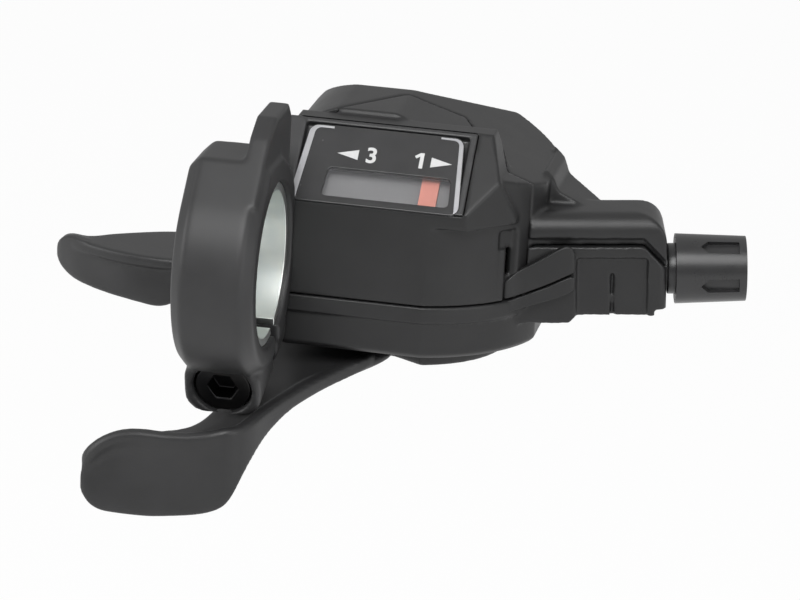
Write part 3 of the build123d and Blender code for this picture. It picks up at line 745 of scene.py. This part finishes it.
FIN_UPPER = BentPlate(
    name="fin_upper",
    edges=(
        ((37.7, 20.8, -8.2), (37.6, 20.8, -5.6)),
        ((38.7, 21.5, -8.0), (38.5, 21.5, -4.6)),
        ((39.7, 22.1, -7.7), (39.4, 22.1, -3.8)),
        ((40.8, 22.4, -7.3), (40.5, 22.4, -3.1)),
        ((42.0, 22.5, -6.7), (41.7, 22.5, -2.4)),
        ((43.4, 22.8, -6.1), (43.1, 22.8, -1.5)),
        ((45.2, 23.2, -5.2), (44.9, 23.2, -0.3)),
        ((46.6, 23.5, -4.4), (46.3, 23.5, 0.6)),
        ((47.6, 23.8, -3.9), (47.3, 23.8, 0.3)),
        ((48.1, 24.2, -3.3), (47.9, 24.2, -1.1)),
    ),
    thickness=1.2,
    rows=(0.0, 0.08, 0.5, 0.92, 1.0),
)
FIN_LOWER = BentPlate(
    name="fin_lower",
    edges=(
        ((37.6, 20.6, -10.6), (37.5, 20.6, -8.6)),
        ((39.4, 21.8, -10.0), (39.2, 21.8, -8.2)),
        ((40.7, 22.2, -9.5), (40.6, 22.2, -7.6)),
        ((42.2, 22.3, -9.0), (42.0, 22.3, -6.9)),
        ((43.6, 22.7, -8.5), (43.5, 22.7, -6.3)),
        ((45.4, 23.1, -7.9), (45.2, 23.1, -5.4)),
        ((46.8, 23.4, -7.2), (46.6, 23.4, -4.6)),
        ((47.8, 23.7, -6.6), (47.7, 23.7, -4.2)),
        ((48.2, 24.1, -5.9), (48.2, 24.1, -4.8)),
    ),
    thickness=1.2,
    rows=(0.0, 0.08, 0.5, 0.92, 1.0),
)
THUMB_WALL = BentPlate(
    name="thumb_wall",
    edges=(
        ((-20.0, -10.0, -34.4), (-20.1, -10.0, -33.4)),
        ((-19.7, -10.6, -35.5), (-19.9, -10.6, -32.4)),
        ((-18.9, -11.2, -36.5), (-19.2, -11.2, -31.0)),
        ((-17.8, -11.5, -37.3), (-18.3, -11.5, -29.6)),
        ((-16.4, -11.7, -37.8), (-17.0, -11.7, -28.1)),
        ((-14.8, -11.7, -37.9), (-15.5, -11.7, -26.9)),
        ((-12.8, -11.7, -38.0), (-13.5, -11.7, -25.8)),
        ((-10.2, -11.7, -38.0), (-11.0, -11.7, -25.3)),
        ((-8.3, -11.7, -37.9), (-9.1, -11.7, -25.2)),
        ((-6.2, -11.7, -37.6), (-6.9, -11.7, -25.1)),
        ((-2.1, -11.7, -37.0), (-2.7, -11.7, -24.6)),
        ((0.8, -11.5, -36.2), (0.1, -11.5, -23.8)),
        ((2.7, -11.0, -35.2), (2.0, -11.0, -23.2)),
        ((3.8, -10.3, -33.4), (3.2, -10.3, -23.0)),
        ((4.8, -9.0, -30.6), (4.4, -9.0, -23.1)),
        ((5.9, -6.6, -27.9), (5.6, -6.6, -22.6)),
        ((6.7, -3.4, -26.1), (6.5, -3.4, -22.1)),
        ((7.8, -0.4, -24.8), (7.6, -0.4, -21.6)),
        ((9.4, 3.6, -23.3), (9.3, 3.6, -21.0)),
        ((12.3, 9.5, -22.2), (12.2, 9.5, -20.1)),
        ((15.1, 14.2, -21.7), (15.0, 14.2, -19.6)),
        ((19.4, 19.2, -20.0), (19.3, 19.2, -18.2)),
    ),
    thickness=2.2,
    rows=(0.01, 0.1, 0.35, 0.6, 0.78, 0.9, 1.02),
    hollow=(0, 0, 0.5, 1.2, 1.7, 1.8, 1.7, 1.3, 1.0, 0.8, 0.5, 0.3, 0.2, 0.1, 0, 0, 0, 0, 0, 0, 0, 0),
    hollow_rows=(0.0, 0.1, 0.35, 0.7, 1.0, 0.7, 0.0),
)
THUMB_ARM = BentPlate(
    name="thumb_arm",
    edges=(
        ((-10.1, -9.3, -25.4), (-11.4, -7.4, -25.8)),
        ((-7.0, -9.3, -25.5), (-7.9, -6.4, -25.5)),
        ((-2.9, -9.5, -24.9), (-5.2, -5.6, -25.1)),
        ((1.2, -9.2, -23.9), (-3.8, -2.8, -24.9)),
        ((4.4, -7.4, -23.3), (-3.1, 0.7, -24.6)),
        ((6.4, -2.8, -22.3), (-2.5, 5.4, -24.3)),
        ((8.4, 2.6, -21.5), (-2.4, 13.0, -22.6)),
        ((12.1, 10.0, -20.3), (-0.6, 20.5, -20.6)),
        ((14.8, 15.0, -19.6), (1.6, 26.5, -19.2)),
        ((22.0, 23.0, -17.9), (6.0, 32.5, -17.9)),
    ),
    thickness=2.4,
)
RELEASE_WALL = BentPlate(
    name="release_wall",
    edges=(
        ((-37.1, 38.0, -13.9), (-37.1, 38.0, -12.9)),
        ((-36.8, 37.6, -14.7), (-36.9, 37.6, -11.8)),
        ((-36.0, 36.6, -15.7), (-36.2, 36.6, -10.7)),
        ((-34.7, 35.5, -16.4), (-34.9, 35.5, -9.9)),
        ((-33.2, 34.1, -16.8), (-33.4, 34.1, -9.7)),
        ((-31.1, 32.6, -17.0), (-31.3, 32.6, -9.8)),
        ((-27.7, 30.8, -17.3), (-28.0, 30.8, -10.1)),
        ((-23.9, 29.4, -17.5), (-24.2, 29.4, -10.1)),
        ((-20.5, 28.7, -17.8), (-20.8, 28.7, -10.1)),
        ((-18.7, 28.5, -18.0), (-19.0, 28.5, -10.1)),
        ((-17.2, 28.4, -17.8), (-17.5, 28.4, -10.1)),
        ((-16.0, 28.4, -17.3), (-16.3, 28.4, -10.1)),
        ((-14.4, 28.5, -16.4), (-14.7, 28.5, -10.0)),
        ((-10.7, 29.6, -15.0), (-10.9, 29.6, -10.1)),
    ),
    thickness=2.0,
    rows=(-0.02, 0.12, 0.4, 0.7, 0.84, 1.0),
    hollow=(0, 0, 0, 0, 0.2, 0.6, 0.9, 1.0, 1.1, 1.2, 1.2, 1.2, 1.2, 1.2),
    hollow_rows=(0.0, 0.05, 0.25, 0.7, 1.0, 1.0),
)
RELEASE_PLATE = BentPlate(
    name="release_plate",
    edges=(
        ((-36.6, 37.5, -11.6), (-36.6, 39.0, -11.4)),
        ((-35.0, 35.8, -10.0), (-35.3, 39.2, -10.6)),
        ((-33.3, 34.3, -9.8), (-33.8, 38.6, -10.4)),
        ((-31.1, 32.5, -9.8), (-31.2, 37.0, -10.2)),
        ((-28.0, 30.8, -10.0), (-29.3, 38.0, -9.8)),
        ((-24.2, 29.4, -10.0), (-26.6, 40.0, -9.8)),
        ((-19.5, 28.5, -10.1), (-22.9, 42.4, -9.8)),
        ((-15.0, 28.5, -10.0), (-18.9, 44.4, -9.8)),
        ((-10.9, 29.6, -10.1), (-13.7, 44.4, -9.8)),
    ),
    thickness=1.8,
    rows=(0.0, 0.06, 0.2, 0.5, 0.85, 1.02),
)


# Studio


@dataclass(frozen=True)
class Lamp:
    """A square soft lamp: place and side in metres, power in watts."""

    name: str
    at: Point
    power: float
    side: float = 0.5


@dataclass
class Studio:
    """Camera, lamps, floor and backdrop, with the aim, distance and drop in millimetres."""

    azimuth: float = 9.7
    elevation: float = 17.5
    roll: float = 3.3
    aim: Point = (22.72, 14.83, -8.10)
    distance: float = 673.0
    lens: float = 200.0
    sensor: float = 36.0
    floor_drop: float = 160.0
    floor_size: float = 6.0
    floor_glow: float = 0.94
    paper: Pair = (0.86, 0.9)
    paper_scale: float = 3.0
    tent_front: float = 0.24
    tent_back: float = 0.34
    tent_top: float = 0.22
    back_band: Pair = (0.1, 0.6)
    top_band: Pair = (0.1, 0.9)
    lamps: tuple[Lamp, ...] = (
        Lamp("top_softbox", (0.05, -0.56, 0.64), 6.0),
        Lamp("left_softbox", (-0.75, -0.30, 0.30), 3.0),
        Lamp("right_softbox", (0.75, -0.40, 0.25), 2.0),
    )

    def back(self) -> Vector:
        """Direction from the aim to the camera."""
        turn, lift = math.radians(self.azimuth), math.radians(self.elevation)
        level = math.cos(lift)
        return Vector((math.sin(turn) * level, -math.cos(turn) * level, math.sin(lift)))

    def add_camera(self) -> None:
        """Places the camera at the photograph's angle."""
        data = bpy.data.cameras.new("camera")
        data.lens = self.lens
        data.sensor_width = self.sensor
        camera = bpy.data.objects.new("camera", data)
        bpy.context.scene.collection.objects.link(camera)
        facing = (-self.back()).to_track_quat("-Z", "Y").to_matrix().to_4x4()
        spin = Matrix.Rotation(math.radians(self.roll), 4, "Z")
        place = Matrix.Translation((Vector(self.aim) + self.back() * self.distance) * MM)
        camera.matrix_world = place @ facing @ spin
        bpy.context.scene.camera = camera

    def add_lamp(self, lamp: Lamp) -> None:
        """Adds a soft lamp that faces the object."""
        data = bpy.data.lights.new(lamp.name, "AREA")
        data.size = lamp.side
        data.energy = lamp.power
        holder = bpy.data.objects.new(lamp.name, data)
        bpy.context.scene.collection.objects.link(holder)
        holder.location = lamp.at
        aim = Vector(self.aim) * MM - Vector(lamp.at)
        holder.rotation_euler = aim.to_track_quat("-Z", "Y").to_euler()

    def add_floor(self) -> None:
        """Adds the pale floor under the object."""
        Bench.clear()
        low = CAD_BOX[0].z - self.floor_drop * MM
        bpy.ops.mesh.primitive_plane_add(size=self.floor_size, location=(0.0, 0.0, low))
        floor = bpy.context.object
        floor.name = "floor"
        sheet = NodeSheet("floor_white")
        seen = self.seen_directly(sheet)
        dark, light = ((level, level, level) for level in self.paper)
        colour = sheet.tint(sheet.noise(self.paper_scale), dark, light)
        matte = sheet.add("ShaderNodeBsdfDiffuse", inputs={"Color": colour})
        glow = sheet.add("ShaderNodeEmission", inputs={"Strength": 1.0})
        mixed = sheet.add("ShaderNodeMixShader", inputs={0: seen * self.floor_glow, 1: matte, 2: glow})
        sheet.add("ShaderNodeOutputMaterial", inputs={"Surface": mixed})
        floor.data.materials.append(sheet.material)

    @staticmethod
    def seen_directly(sheet: NodeSheet) -> Socket:
        """One for rays from the camera, a mirror or glass, otherwise zero."""
        rays = [
            sheet.add("ShaderNodeLightPath", output=name)
            for name in ("Is Camera Ray", "Is Glossy Ray", "Is Transmission Ray")
        ]
        return rays[0] + rays[1] + rays[2] > 0.5

    def add_world(self) -> None:
        """White tent that is bright above and behind the object and dim in front of it."""
        world = bpy.data.worlds.new("studio")
        bpy.context.scene.world = world
        world.use_nodes = True
        sheet = NodeSheet.of_world(world)
        white = sheet.add("ShaderNodeBackground", inputs={"Strength": 1.0})
        place = sheet.add("ShaderNodeTexCoord", output="Generated")
        behind = sheet.add("ShaderNodeSeparateXYZ", inputs={0: place}, output="Y")
        above = sheet.add("ShaderNodeSeparateXYZ", inputs={0: place}, output="Z")
        level = self.tent_front + sheet.steps(behind * 0.5 + 0.5, *self.back_band) * self.tent_back
        level = level + sheet.steps(above, *self.top_band) * self.tent_top
        tent = sheet.add("ShaderNodeBackground", inputs={"Strength": level})
        seen = sheet.add("ShaderNodeLightPath", output="Is Camera Ray")
        mixed = sheet.add("ShaderNodeMixShader", inputs={0: seen, 1: tent, 2: white})
        sheet.add("ShaderNodeOutputWorld", inputs={"Surface": mixed})

    def build(self) -> None:
        """Builds the whole studio."""
        self.add_camera()
        self.add_world()
        self.add_floor()
        for lamp in self.lamps:
            self.add_lamp(lamp)
        bpy.context.scene.view_settings.view_transform = "Standard"


# The shifter's own pieces


@dataclass
class Clamp:
    """Bar clamp: cover, band and bolt."""

    cover: Moulding = Moulding("clamp_cover", Body.HOUSING, "clamp_black", 0.28, 24)
    band: RoundedCopy = RoundedCopy("clamp_band", Body.HOUSING, "zinc_band", 0.12)
    bolt: RoundedCopy = RoundedCopy("clamp_bolt", Body.HOUSING, "black_steel", 0.25)

    def build(self, finishes: Finishes) -> None:
        """Builds and dresses the clamp."""
        self.cover.dress(self.cover.start(), finishes.clamp)
        self.band.build(finishes.zinc)
        self.bolt.build(finishes.black_steel)


@dataclass
class Housing:
    """Upper housing, rear cover and lower cover with their screws, in millimetres."""

    upper: Moulding = Moulding("upper_housing", Body.HOUSING, "housing_black", 0.28, 4)
    rear: Moulding = Moulding("rear_cover", Body.HOUSING, "housing_black", 0.28, 10)
    lower: Moulding = Moulding("lower_cover", Body.HOUSING, "housing_black", 0.26, 5)
    screws: RoundedCopy = RoundedCopy("cover_screws", Body.HOUSING, "black_steel", 0.15)
    seam_z: float = -8.4
    seam: float = 0.16
    cap_end: Pair = (41.3, 10.0)
    cap_round: float = 4.6
    cap_reach: float = 20.0
    cap_half: float = 7.0
    spare: float = 1.0
    fin_recess: PlateSize = PlateSize((19.8, 27.6), (-5.4, 5.15), (5.72, 7.5), 0.1)
    fin_angle: float = 60.0
    panel_line: PlateSize = PlateSize((32.68, 33.32), (-8.0, 0.8), (4.9, 7.0), 0.05)

    @staticmethod
    def outlet_side() -> Matrix:
        """The upright plane along the cable, seen from the front."""
        return Adjuster().place() @ Matrix.Rotation(math.pi / 2, 4, "X")

    def part(self, shape: bpy.types.Object) -> None:
        """Opens the parting line above the lower cover."""
        Bench.trim(shape, (0.0, 0.0, self.seam_z + self.seam), (0.0, 0.0, -1.0))

    def round_cap(self, shell: bpy.types.Object) -> None:
        """Rounds the upper end of the outlet's cap."""
        place, radius, spare = self.outlet_side(), self.cap_round, self.spare
        end, top = self.cap_end
        across, along = (end - radius, end + spare), (top - radius, top + spare)
        corner = Bench.plate("corner", PlateSize(across, along, (-self.cap_half, self.cap_half), 0.05), place)
        across, along = (end - self.cap_reach, end), (top - self.cap_reach, top)
        deep = self.cap_half + spare
        Bench.cut(corner, Bench.plate("round", PlateSize(across, along, (-deep, deep), radius), place))
        Bench.cut(shell, corner)

    def build_lower(self, finishes: Finishes) -> None:
        """Moulds the lower cover and joins the outlet's fin to it."""
        shell = self.lower.start()
        for name, size in (("fin_cutter", self.fin_recess), ("line_cutter", self.panel_line)):
            Bench.cut(shell, Bench.plate(name, size, self.outlet_side()))
        cover = self.lower.dress(shell, finishes.housing)
        for plate in (FIN_UPPER, FIN_LOWER):
            fin = plate.build()
            Bench.smooth(fin, self.fin_angle)
            fin.data.materials.append(finishes.housing)
            Bench.join([cover.shape, fin], cover.shape.name)

    def build(self, finishes: Finishes) -> None:
        """Builds and dresses the housing."""
        shell = self.upper.start()
        self.part(shell)
        self.upper.dress(shell, finishes.housing)
        shell = self.rear.start()
        self.part(shell)
        self.round_cap(shell)
        self.rear.dress(shell, finishes.housing)
        self.build_lower(finishes)
        self.screws.build(finishes.black_steel)


@dataclass
class Levers:
    """Thumb lever, release lever and the axle's end, each cut given by a point and the side that goes."""

    axle: RoundedCopy = RoundedCopy("main_axle", Body.HOUSING, "black_steel", 0.2)
    thumb: Moulding = Moulding("thumb_lever", Body.THUMB, "lever_black", 0.26, 10)
    thumb_cut: tuple[Point, Point] = ((14.6, 26.8, -18.6), (-0.53, -0.85, 0.0))
    release: Moulding = Moulding("release_lever", Body.RELEASE, "lever_black", 0.26, 10)
    release_cut: tuple[Point, Point] = ((-12.4, 36.0, -12.0), (-1.0, 0.0, 0.0))

    def build(self, finishes: Finishes) -> None:
        """Keeps each lever's hub from its node and models its grip anew."""
        self.axle.build(finishes.black_steel)
        for lever, cut, plates in (
            (self.thumb, self.thumb_cut, (THUMB_WALL, THUMB_ARM)),
            (self.release, self.release_cut, (RELEASE_WALL, RELEASE_PLATE)),
        ):
            hub = lever.start()
            Bench.trim(hub, *cut)
            lever.dress(Bench.join([hub, *(plate.build() for plate in plates)], hub.name), finishes.lever)


@dataclass
class Adjuster:
    """Barrel adjuster at the cable outlet, in millimetres along the cable and degrees."""

    cable_start: Point = (20.0, 25.5, -6.5)
    turn: float = 10.7
    rise: float = 3.15
    knob: Pair = (42.8, 53.64)
    knob_r: Pair = (5.4, 5.0)
    knob_sides: int = 96
    knob_edge: float = 0.22
    knob_sharp: float = 24.0
    flutes: int = 5
    flute_turn: float = 70.0
    flute_reach: Pair = (46.6, 52.5)
    flute_half: float = 1.15
    flute_off: Pair = (4.3, 8.0)
    seat_r: float = 2.6
    seat_depth: float = 7.0
    hole_r: float = 0.9
    hole_depth: float = 12.84
    bore_sides: int = 48
    shank_edge: float = 0.15

    def place(self) -> Matrix:
        """The cable's line as the first axis."""
        turn = Matrix.Rotation(math.radians(self.turn), 4, "Z")
        lift = Matrix.Rotation(math.radians(-self.rise), 4, "Y")
        return Matrix.Translation(Vector(self.cable_start) * MM) @ turn @ lift

    def across(self, along: float) -> Matrix:
        """The plane square to the cable, at a length along it."""
        return self.place() @ Matrix.Translation((along * MM, 0.0, 0.0)) @ Matrix.Rotation(math.pi / 2, 4, "Y")

    def model_knob(self) -> bpy.types.Object:
        """Models the knob, with pointed flutes round its grip."""
        start, end = self.knob
        wide, narrow = (radius * MM for radius in self.knob_r)
        Bench.clear()
        bpy.ops.mesh.primitive_cone_add(
            vertices=self.knob_sides, radius1=wide, radius2=narrow, depth=(end - start) * MM
        )
        knob = bpy.context.object
        knob.name = "barrel_knob"
        Bench.settle(knob, self.across((start + end) / 2))
        facing = Matrix.Rotation(math.radians(self.flute_turn), 4, "X")
        for number in range(self.flutes):
            around = Matrix.Rotation(2 * math.pi * (number + 0.5) / self.flutes, 4, "X")
            place = self.place() @ facing @ around
            Bench.cut(knob, Bench.pointed("flute_cutter", self.flute_reach, self.flute_half, self.flute_off, place))
        for radius, depth in ((self.seat_r, self.seat_depth), (self.hole_r, self.hole_depth)):
            Bench.clear()
            bpy.ops.mesh.primitive_cylinder_add(vertices=self.bore_sides, radius=radius * MM, depth=2 * depth * MM)
            bore = bpy.context.object
            Bench.settle(bore, self.across(end))
            Bench.cut(knob, bore)
        Bench.round_edges(knob, self.knob_edge, self.knob_sharp)
        return knob

    def build(self, finishes: Finishes) -> None:
        """Builds and dresses the adjuster."""
        shank = Bench.from_node("barrel_adjuster", "barrel_shank")
        place = self.place()
        face = place @ Vector((self.knob[0] * MM, 0.0, 0.0))
        Bench.trim(shank, face / MM, place.to_3x3() @ Vector((1.0, 0.0, 0.0)))
        Bench.round_edges(shank, self.shank_edge)
        barrel = Bench.join([shank, self.model_knob()], "barrel_adjuster_moulded")
        Bench.smooth(barrel)
        Piece(barrel, Body.BARREL, finishes.adjuster).stands_for("barrel_adjuster")


@dataclass(frozen=True)
class Print:
    """Printed numbers and arrows on a plane, in millimetres and degrees."""

    plane: Matrix
    film: float = 0.03
    corner: float = 0.05
    height: float = 3.7
    weight: float = 0.08
    stem: tuple[Pair, Pair] = ((0.08, 0.66), (-1.32, 1.36))
    flag: tuple[Pair, Pair] = ((-0.52, 0.62), (-0.24, 0.24))
    flag_film: float = 0.028
    flag_at: Point = (-0.2, 0.86, 0.0)
    flag_lean: float = 36.0
    arrow_stretch: float = 2.15

    def place(self, at: Pair, off: float = 0.0) -> Matrix:
        """The plane, moved to a mark's middle."""
        return self.plane @ Matrix.Translation(Vector((*at, off)) * MM)

    def number(self, sign: str, name: str, at: Pair) -> bpy.types.Object:
        """Models a numeral.

        Args:
            sign: The numeral.
            name: The piece's name.
            at: Its middle in the plane.

        Returns:
            The numeral as a thin mesh.
        """
        Bench.clear()
        bpy.ops.object.text_add()
        piece = bpy.context.object
        piece.name = name
        piece.data.body = sign
        piece.data.size = self.height * MM
        piece.data.offset = self.weight * MM
        piece.data.extrude = self.film / 2 * MM
        piece.data.align_x = "CENTER"
        piece.data.align_y = "CENTER"
        bpy.ops.object.convert(target="MESH")
        piece = bpy.context.object
        Bench.settle(piece, self.place(at, self.film / 2))
        return piece

    def one(self, name: str, at: Pair) -> bpy.types.Object:
        """Models a one from a stem and a flag.

        Args:
            name: The piece's name.
            at: Its middle in the plane.

        Returns:
            The numeral as a thin mesh.
        """
        middle = self.place(at)
        stem = Bench.plate(name, PlateSize(*self.stem, (0.0, self.film), self.corner), middle)
        lean = Matrix.Rotation(math.radians(self.flag_lean), 4, "Z")
        lean = middle @ Matrix.Translation(Vector(self.flag_at) * MM) @ lean
        flag = Bench.plate("flag", PlateSize(*self.flag, (0.0, self.flag_film), self.corner), lean)
        return Bench.join([stem, flag], name)

    def arrow(self, name: str, at: Pair, turn: float) -> bpy.types.Object:
        """Models an arrow head.

        Args:
            name: The piece's name.
            at: Its middle in the plane.
            turn: Turn of its tip from straight up the plane.

        Returns:
            The arrow head as a thin mesh.
        """
        Bench.clear()
        bpy.ops.mesh.primitive_circle_add(vertices=3, radius=MM, fill_type="NGON")
        piece = bpy.context.object
        piece.name = name
        bpy.ops.object.mode_set(mode="EDIT")
        bpy.ops.mesh.select_all(action="SELECT")
        bpy.ops.transform.resize(value=(1.0, self.arrow_stretch, 1.0))
        Bench.thicken(self.film)
        Bench.settle(piece, self.place(at) @ Matrix.Rotation(math.radians(turn), 4, "Z"))
        return piece


@dataclass
class Display:
    """Gear window: bezel, lens with its trim and print, and clear pane, in millimetres on its sloping plane."""

    foot: Point = (0.0, 13.0, 6.8)
    tilt: float = 44.15
    taper: float = 0.0074
    bezel: Moulding = Moulding("display_bezel", Body.HOUSING, "bezel_black", 0.2, 5)
    side: PlateSize = PlateSize((1.8, 5.5), (-0.4, 14.3), (-3.0, 0.2), 1.2)
    back: PlateSize = PlateSize((19.0, 31.8), (7.6, 14.0), (-6.8, -1.4), 0.3)
    lens: PlateSize = PlateSize((5.6, 30.6), (-0.3, 13.2), (-0.9, 0.12), 1.5)
    lens_edge: float = 0.1
    window: PlateSize = PlateSize((10.0, 29.2), (0.9, 5.9), (-3.0, 1.0), 0.8)
    pane: PlateSize = PlateSize((10.0, 29.2), (0.9, 5.9), (-0.5, 0.04), 0.8)
    pane_edge: float = 0.06
    trim: PlateSize = PlateSize((5.72, 30.48), (-0.2, 12.95), (-0.1, 0.17), 1.3)
    trim_inside: PlateSize = PlateSize((6.44, 29.98), (-4.0, 12.61), (-1.0, 1.0), 0.9)
    trim_gap: PlateSize = PlateSize((9.9, 26.4), (-5.0, 20.0), (-1.0, 1.0), 0.05)
    trim_edge: float = 0.04
    three_at: Pair = (16.4, 8.4)
    one_at: Pair = (23.7, 8.5)
    arrows: tuple[tuple[Pair, float], ...] = (((13.0, 8.4), 90.0), ((26.9, 8.4), -90.0))

    def place(self, off: float = 0.0) -> Matrix:
        """The display's sloping plane, or one off it."""
        slope = Matrix.Translation(Vector(self.foot) * MM) @ Matrix.Rotation(math.radians(self.tilt), 4, "X")
        return slope @ Matrix.Translation((0.0, 0.0, off * MM))

    def build_bezel(self, finishes: Finishes) -> None:
        """Moulds the bezel with its broad left side and its filled back."""
        shell = self.bezel.start()
        side = Bench.plate("bezel_side", self.side, self.place())
        back = Bench.plate("bezel_back", self.back, self.place())
        self.bezel.dress(Bench.join([shell, side, back], shell.name), finishes.bezel)

    def build_lens(self, finishes: Finishes) -> None:
        """Models the lens with its window and sets the clear pane in it."""
        place = self.place()
        lens = Bench.plate("display_lens_plate", self.lens, place, self.taper)
        Bench.cut(lens, Bench.plate("window_cutter", self.window, place, self.taper))
        Bench.round_edges(lens, self.lens_edge)
        Bench.smooth(lens)
        Piece(lens, Body.HOUSING, finishes.lens).stands_for("display_lens")
        pane = Bench.plate("window_pane", self.pane, place, self.taper)
        Bench.round_edges(pane, self.pane_edge)
        Piece(pane, Body.HOUSING, finishes.pane)

    def build_trim(self, finishes: Finishes) -> None:
        """Sets the bright trim lines into the lens's edges."""
        place = self.place()
        trim = Bench.plate("lens_trim", self.trim, place, self.taper)
        Bench.cut(trim, Bench.plate("trim_inside", self.trim_inside, place, self.taper))
        Bench.cut(trim, Bench.plate("trim_gap", self.trim_gap, place))
        Bench.round_edges(trim, self.trim_edge)
        Bench.smooth(trim)
        Piece(trim, Body.HOUSING, finishes.trim)

    def build_print(self, finishes: Finishes) -> None:
        """Prints the gear numbers and their arrows on the lens."""
        marks = Print(self.place(self.lens.off[1]))
        Piece(marks.number("3", "print_3", self.three_at), Body.HOUSING, finishes.print)
        Piece(marks.one("print_1", self.one_at), Body.HOUSING, finishes.print)
        for number, (at, turn) in enumerate(self.arrows):
            Piece(marks.arrow(f"print_arrow_{number}", at, turn), Body.HOUSING, finishes.print)

    def build(self, finishes: Finishes) -> None:
        """Builds and dresses the display."""
        self.build_bezel(finishes)
        self.build_lens(finishes)
        self.build_trim(finishes)
        self.build_print(finishes)


@dataclass
class Mechanism:
    """Inner pieces that keep their CAD shape."""

    steel: tuple[str, ...] = (
        *("clamp_nut", "base_plate", "axle_washer", "drive_plate", "ratchet_wheel", "indicator_arm"),
        *("winding_pawl", "holding_pawl", "holding_pawl_pin"),
        *("lever_spring", "spool_spring", "release_spring", "adjuster_spring"),
    )

    def build(self, finishes: Finishes) -> None:
        """Dresses the CAD nodes of the mechanism."""
        dressed = {node: finishes.steel for node in self.steel}
        dressed["cable_spool"] = finishes.spool
        dressed["dial_plate"] = finishes.dial
        dressed["indicator"] = finishes.pointer_with_glare
        for node, finish in dressed.items():
            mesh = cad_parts[node].data
            mesh.materials.clear()
            mesh.materials.append(finish)
            LOG.info("%s keeps its CAD shape", node)


def main() -> None:
    """Builds the shifter and its studio."""
    logging.basicConfig(level=logging.INFO, format="%(name)s: %(message)s")
    finishes = Finishes()
    Mechanism().build(finishes)
    for assembly in (Clamp(), Housing(), Levers(), Adjuster(), Display()):
        assembly.build(finishes)
    Studio().build()


if __name__ == "__main__":
    main()
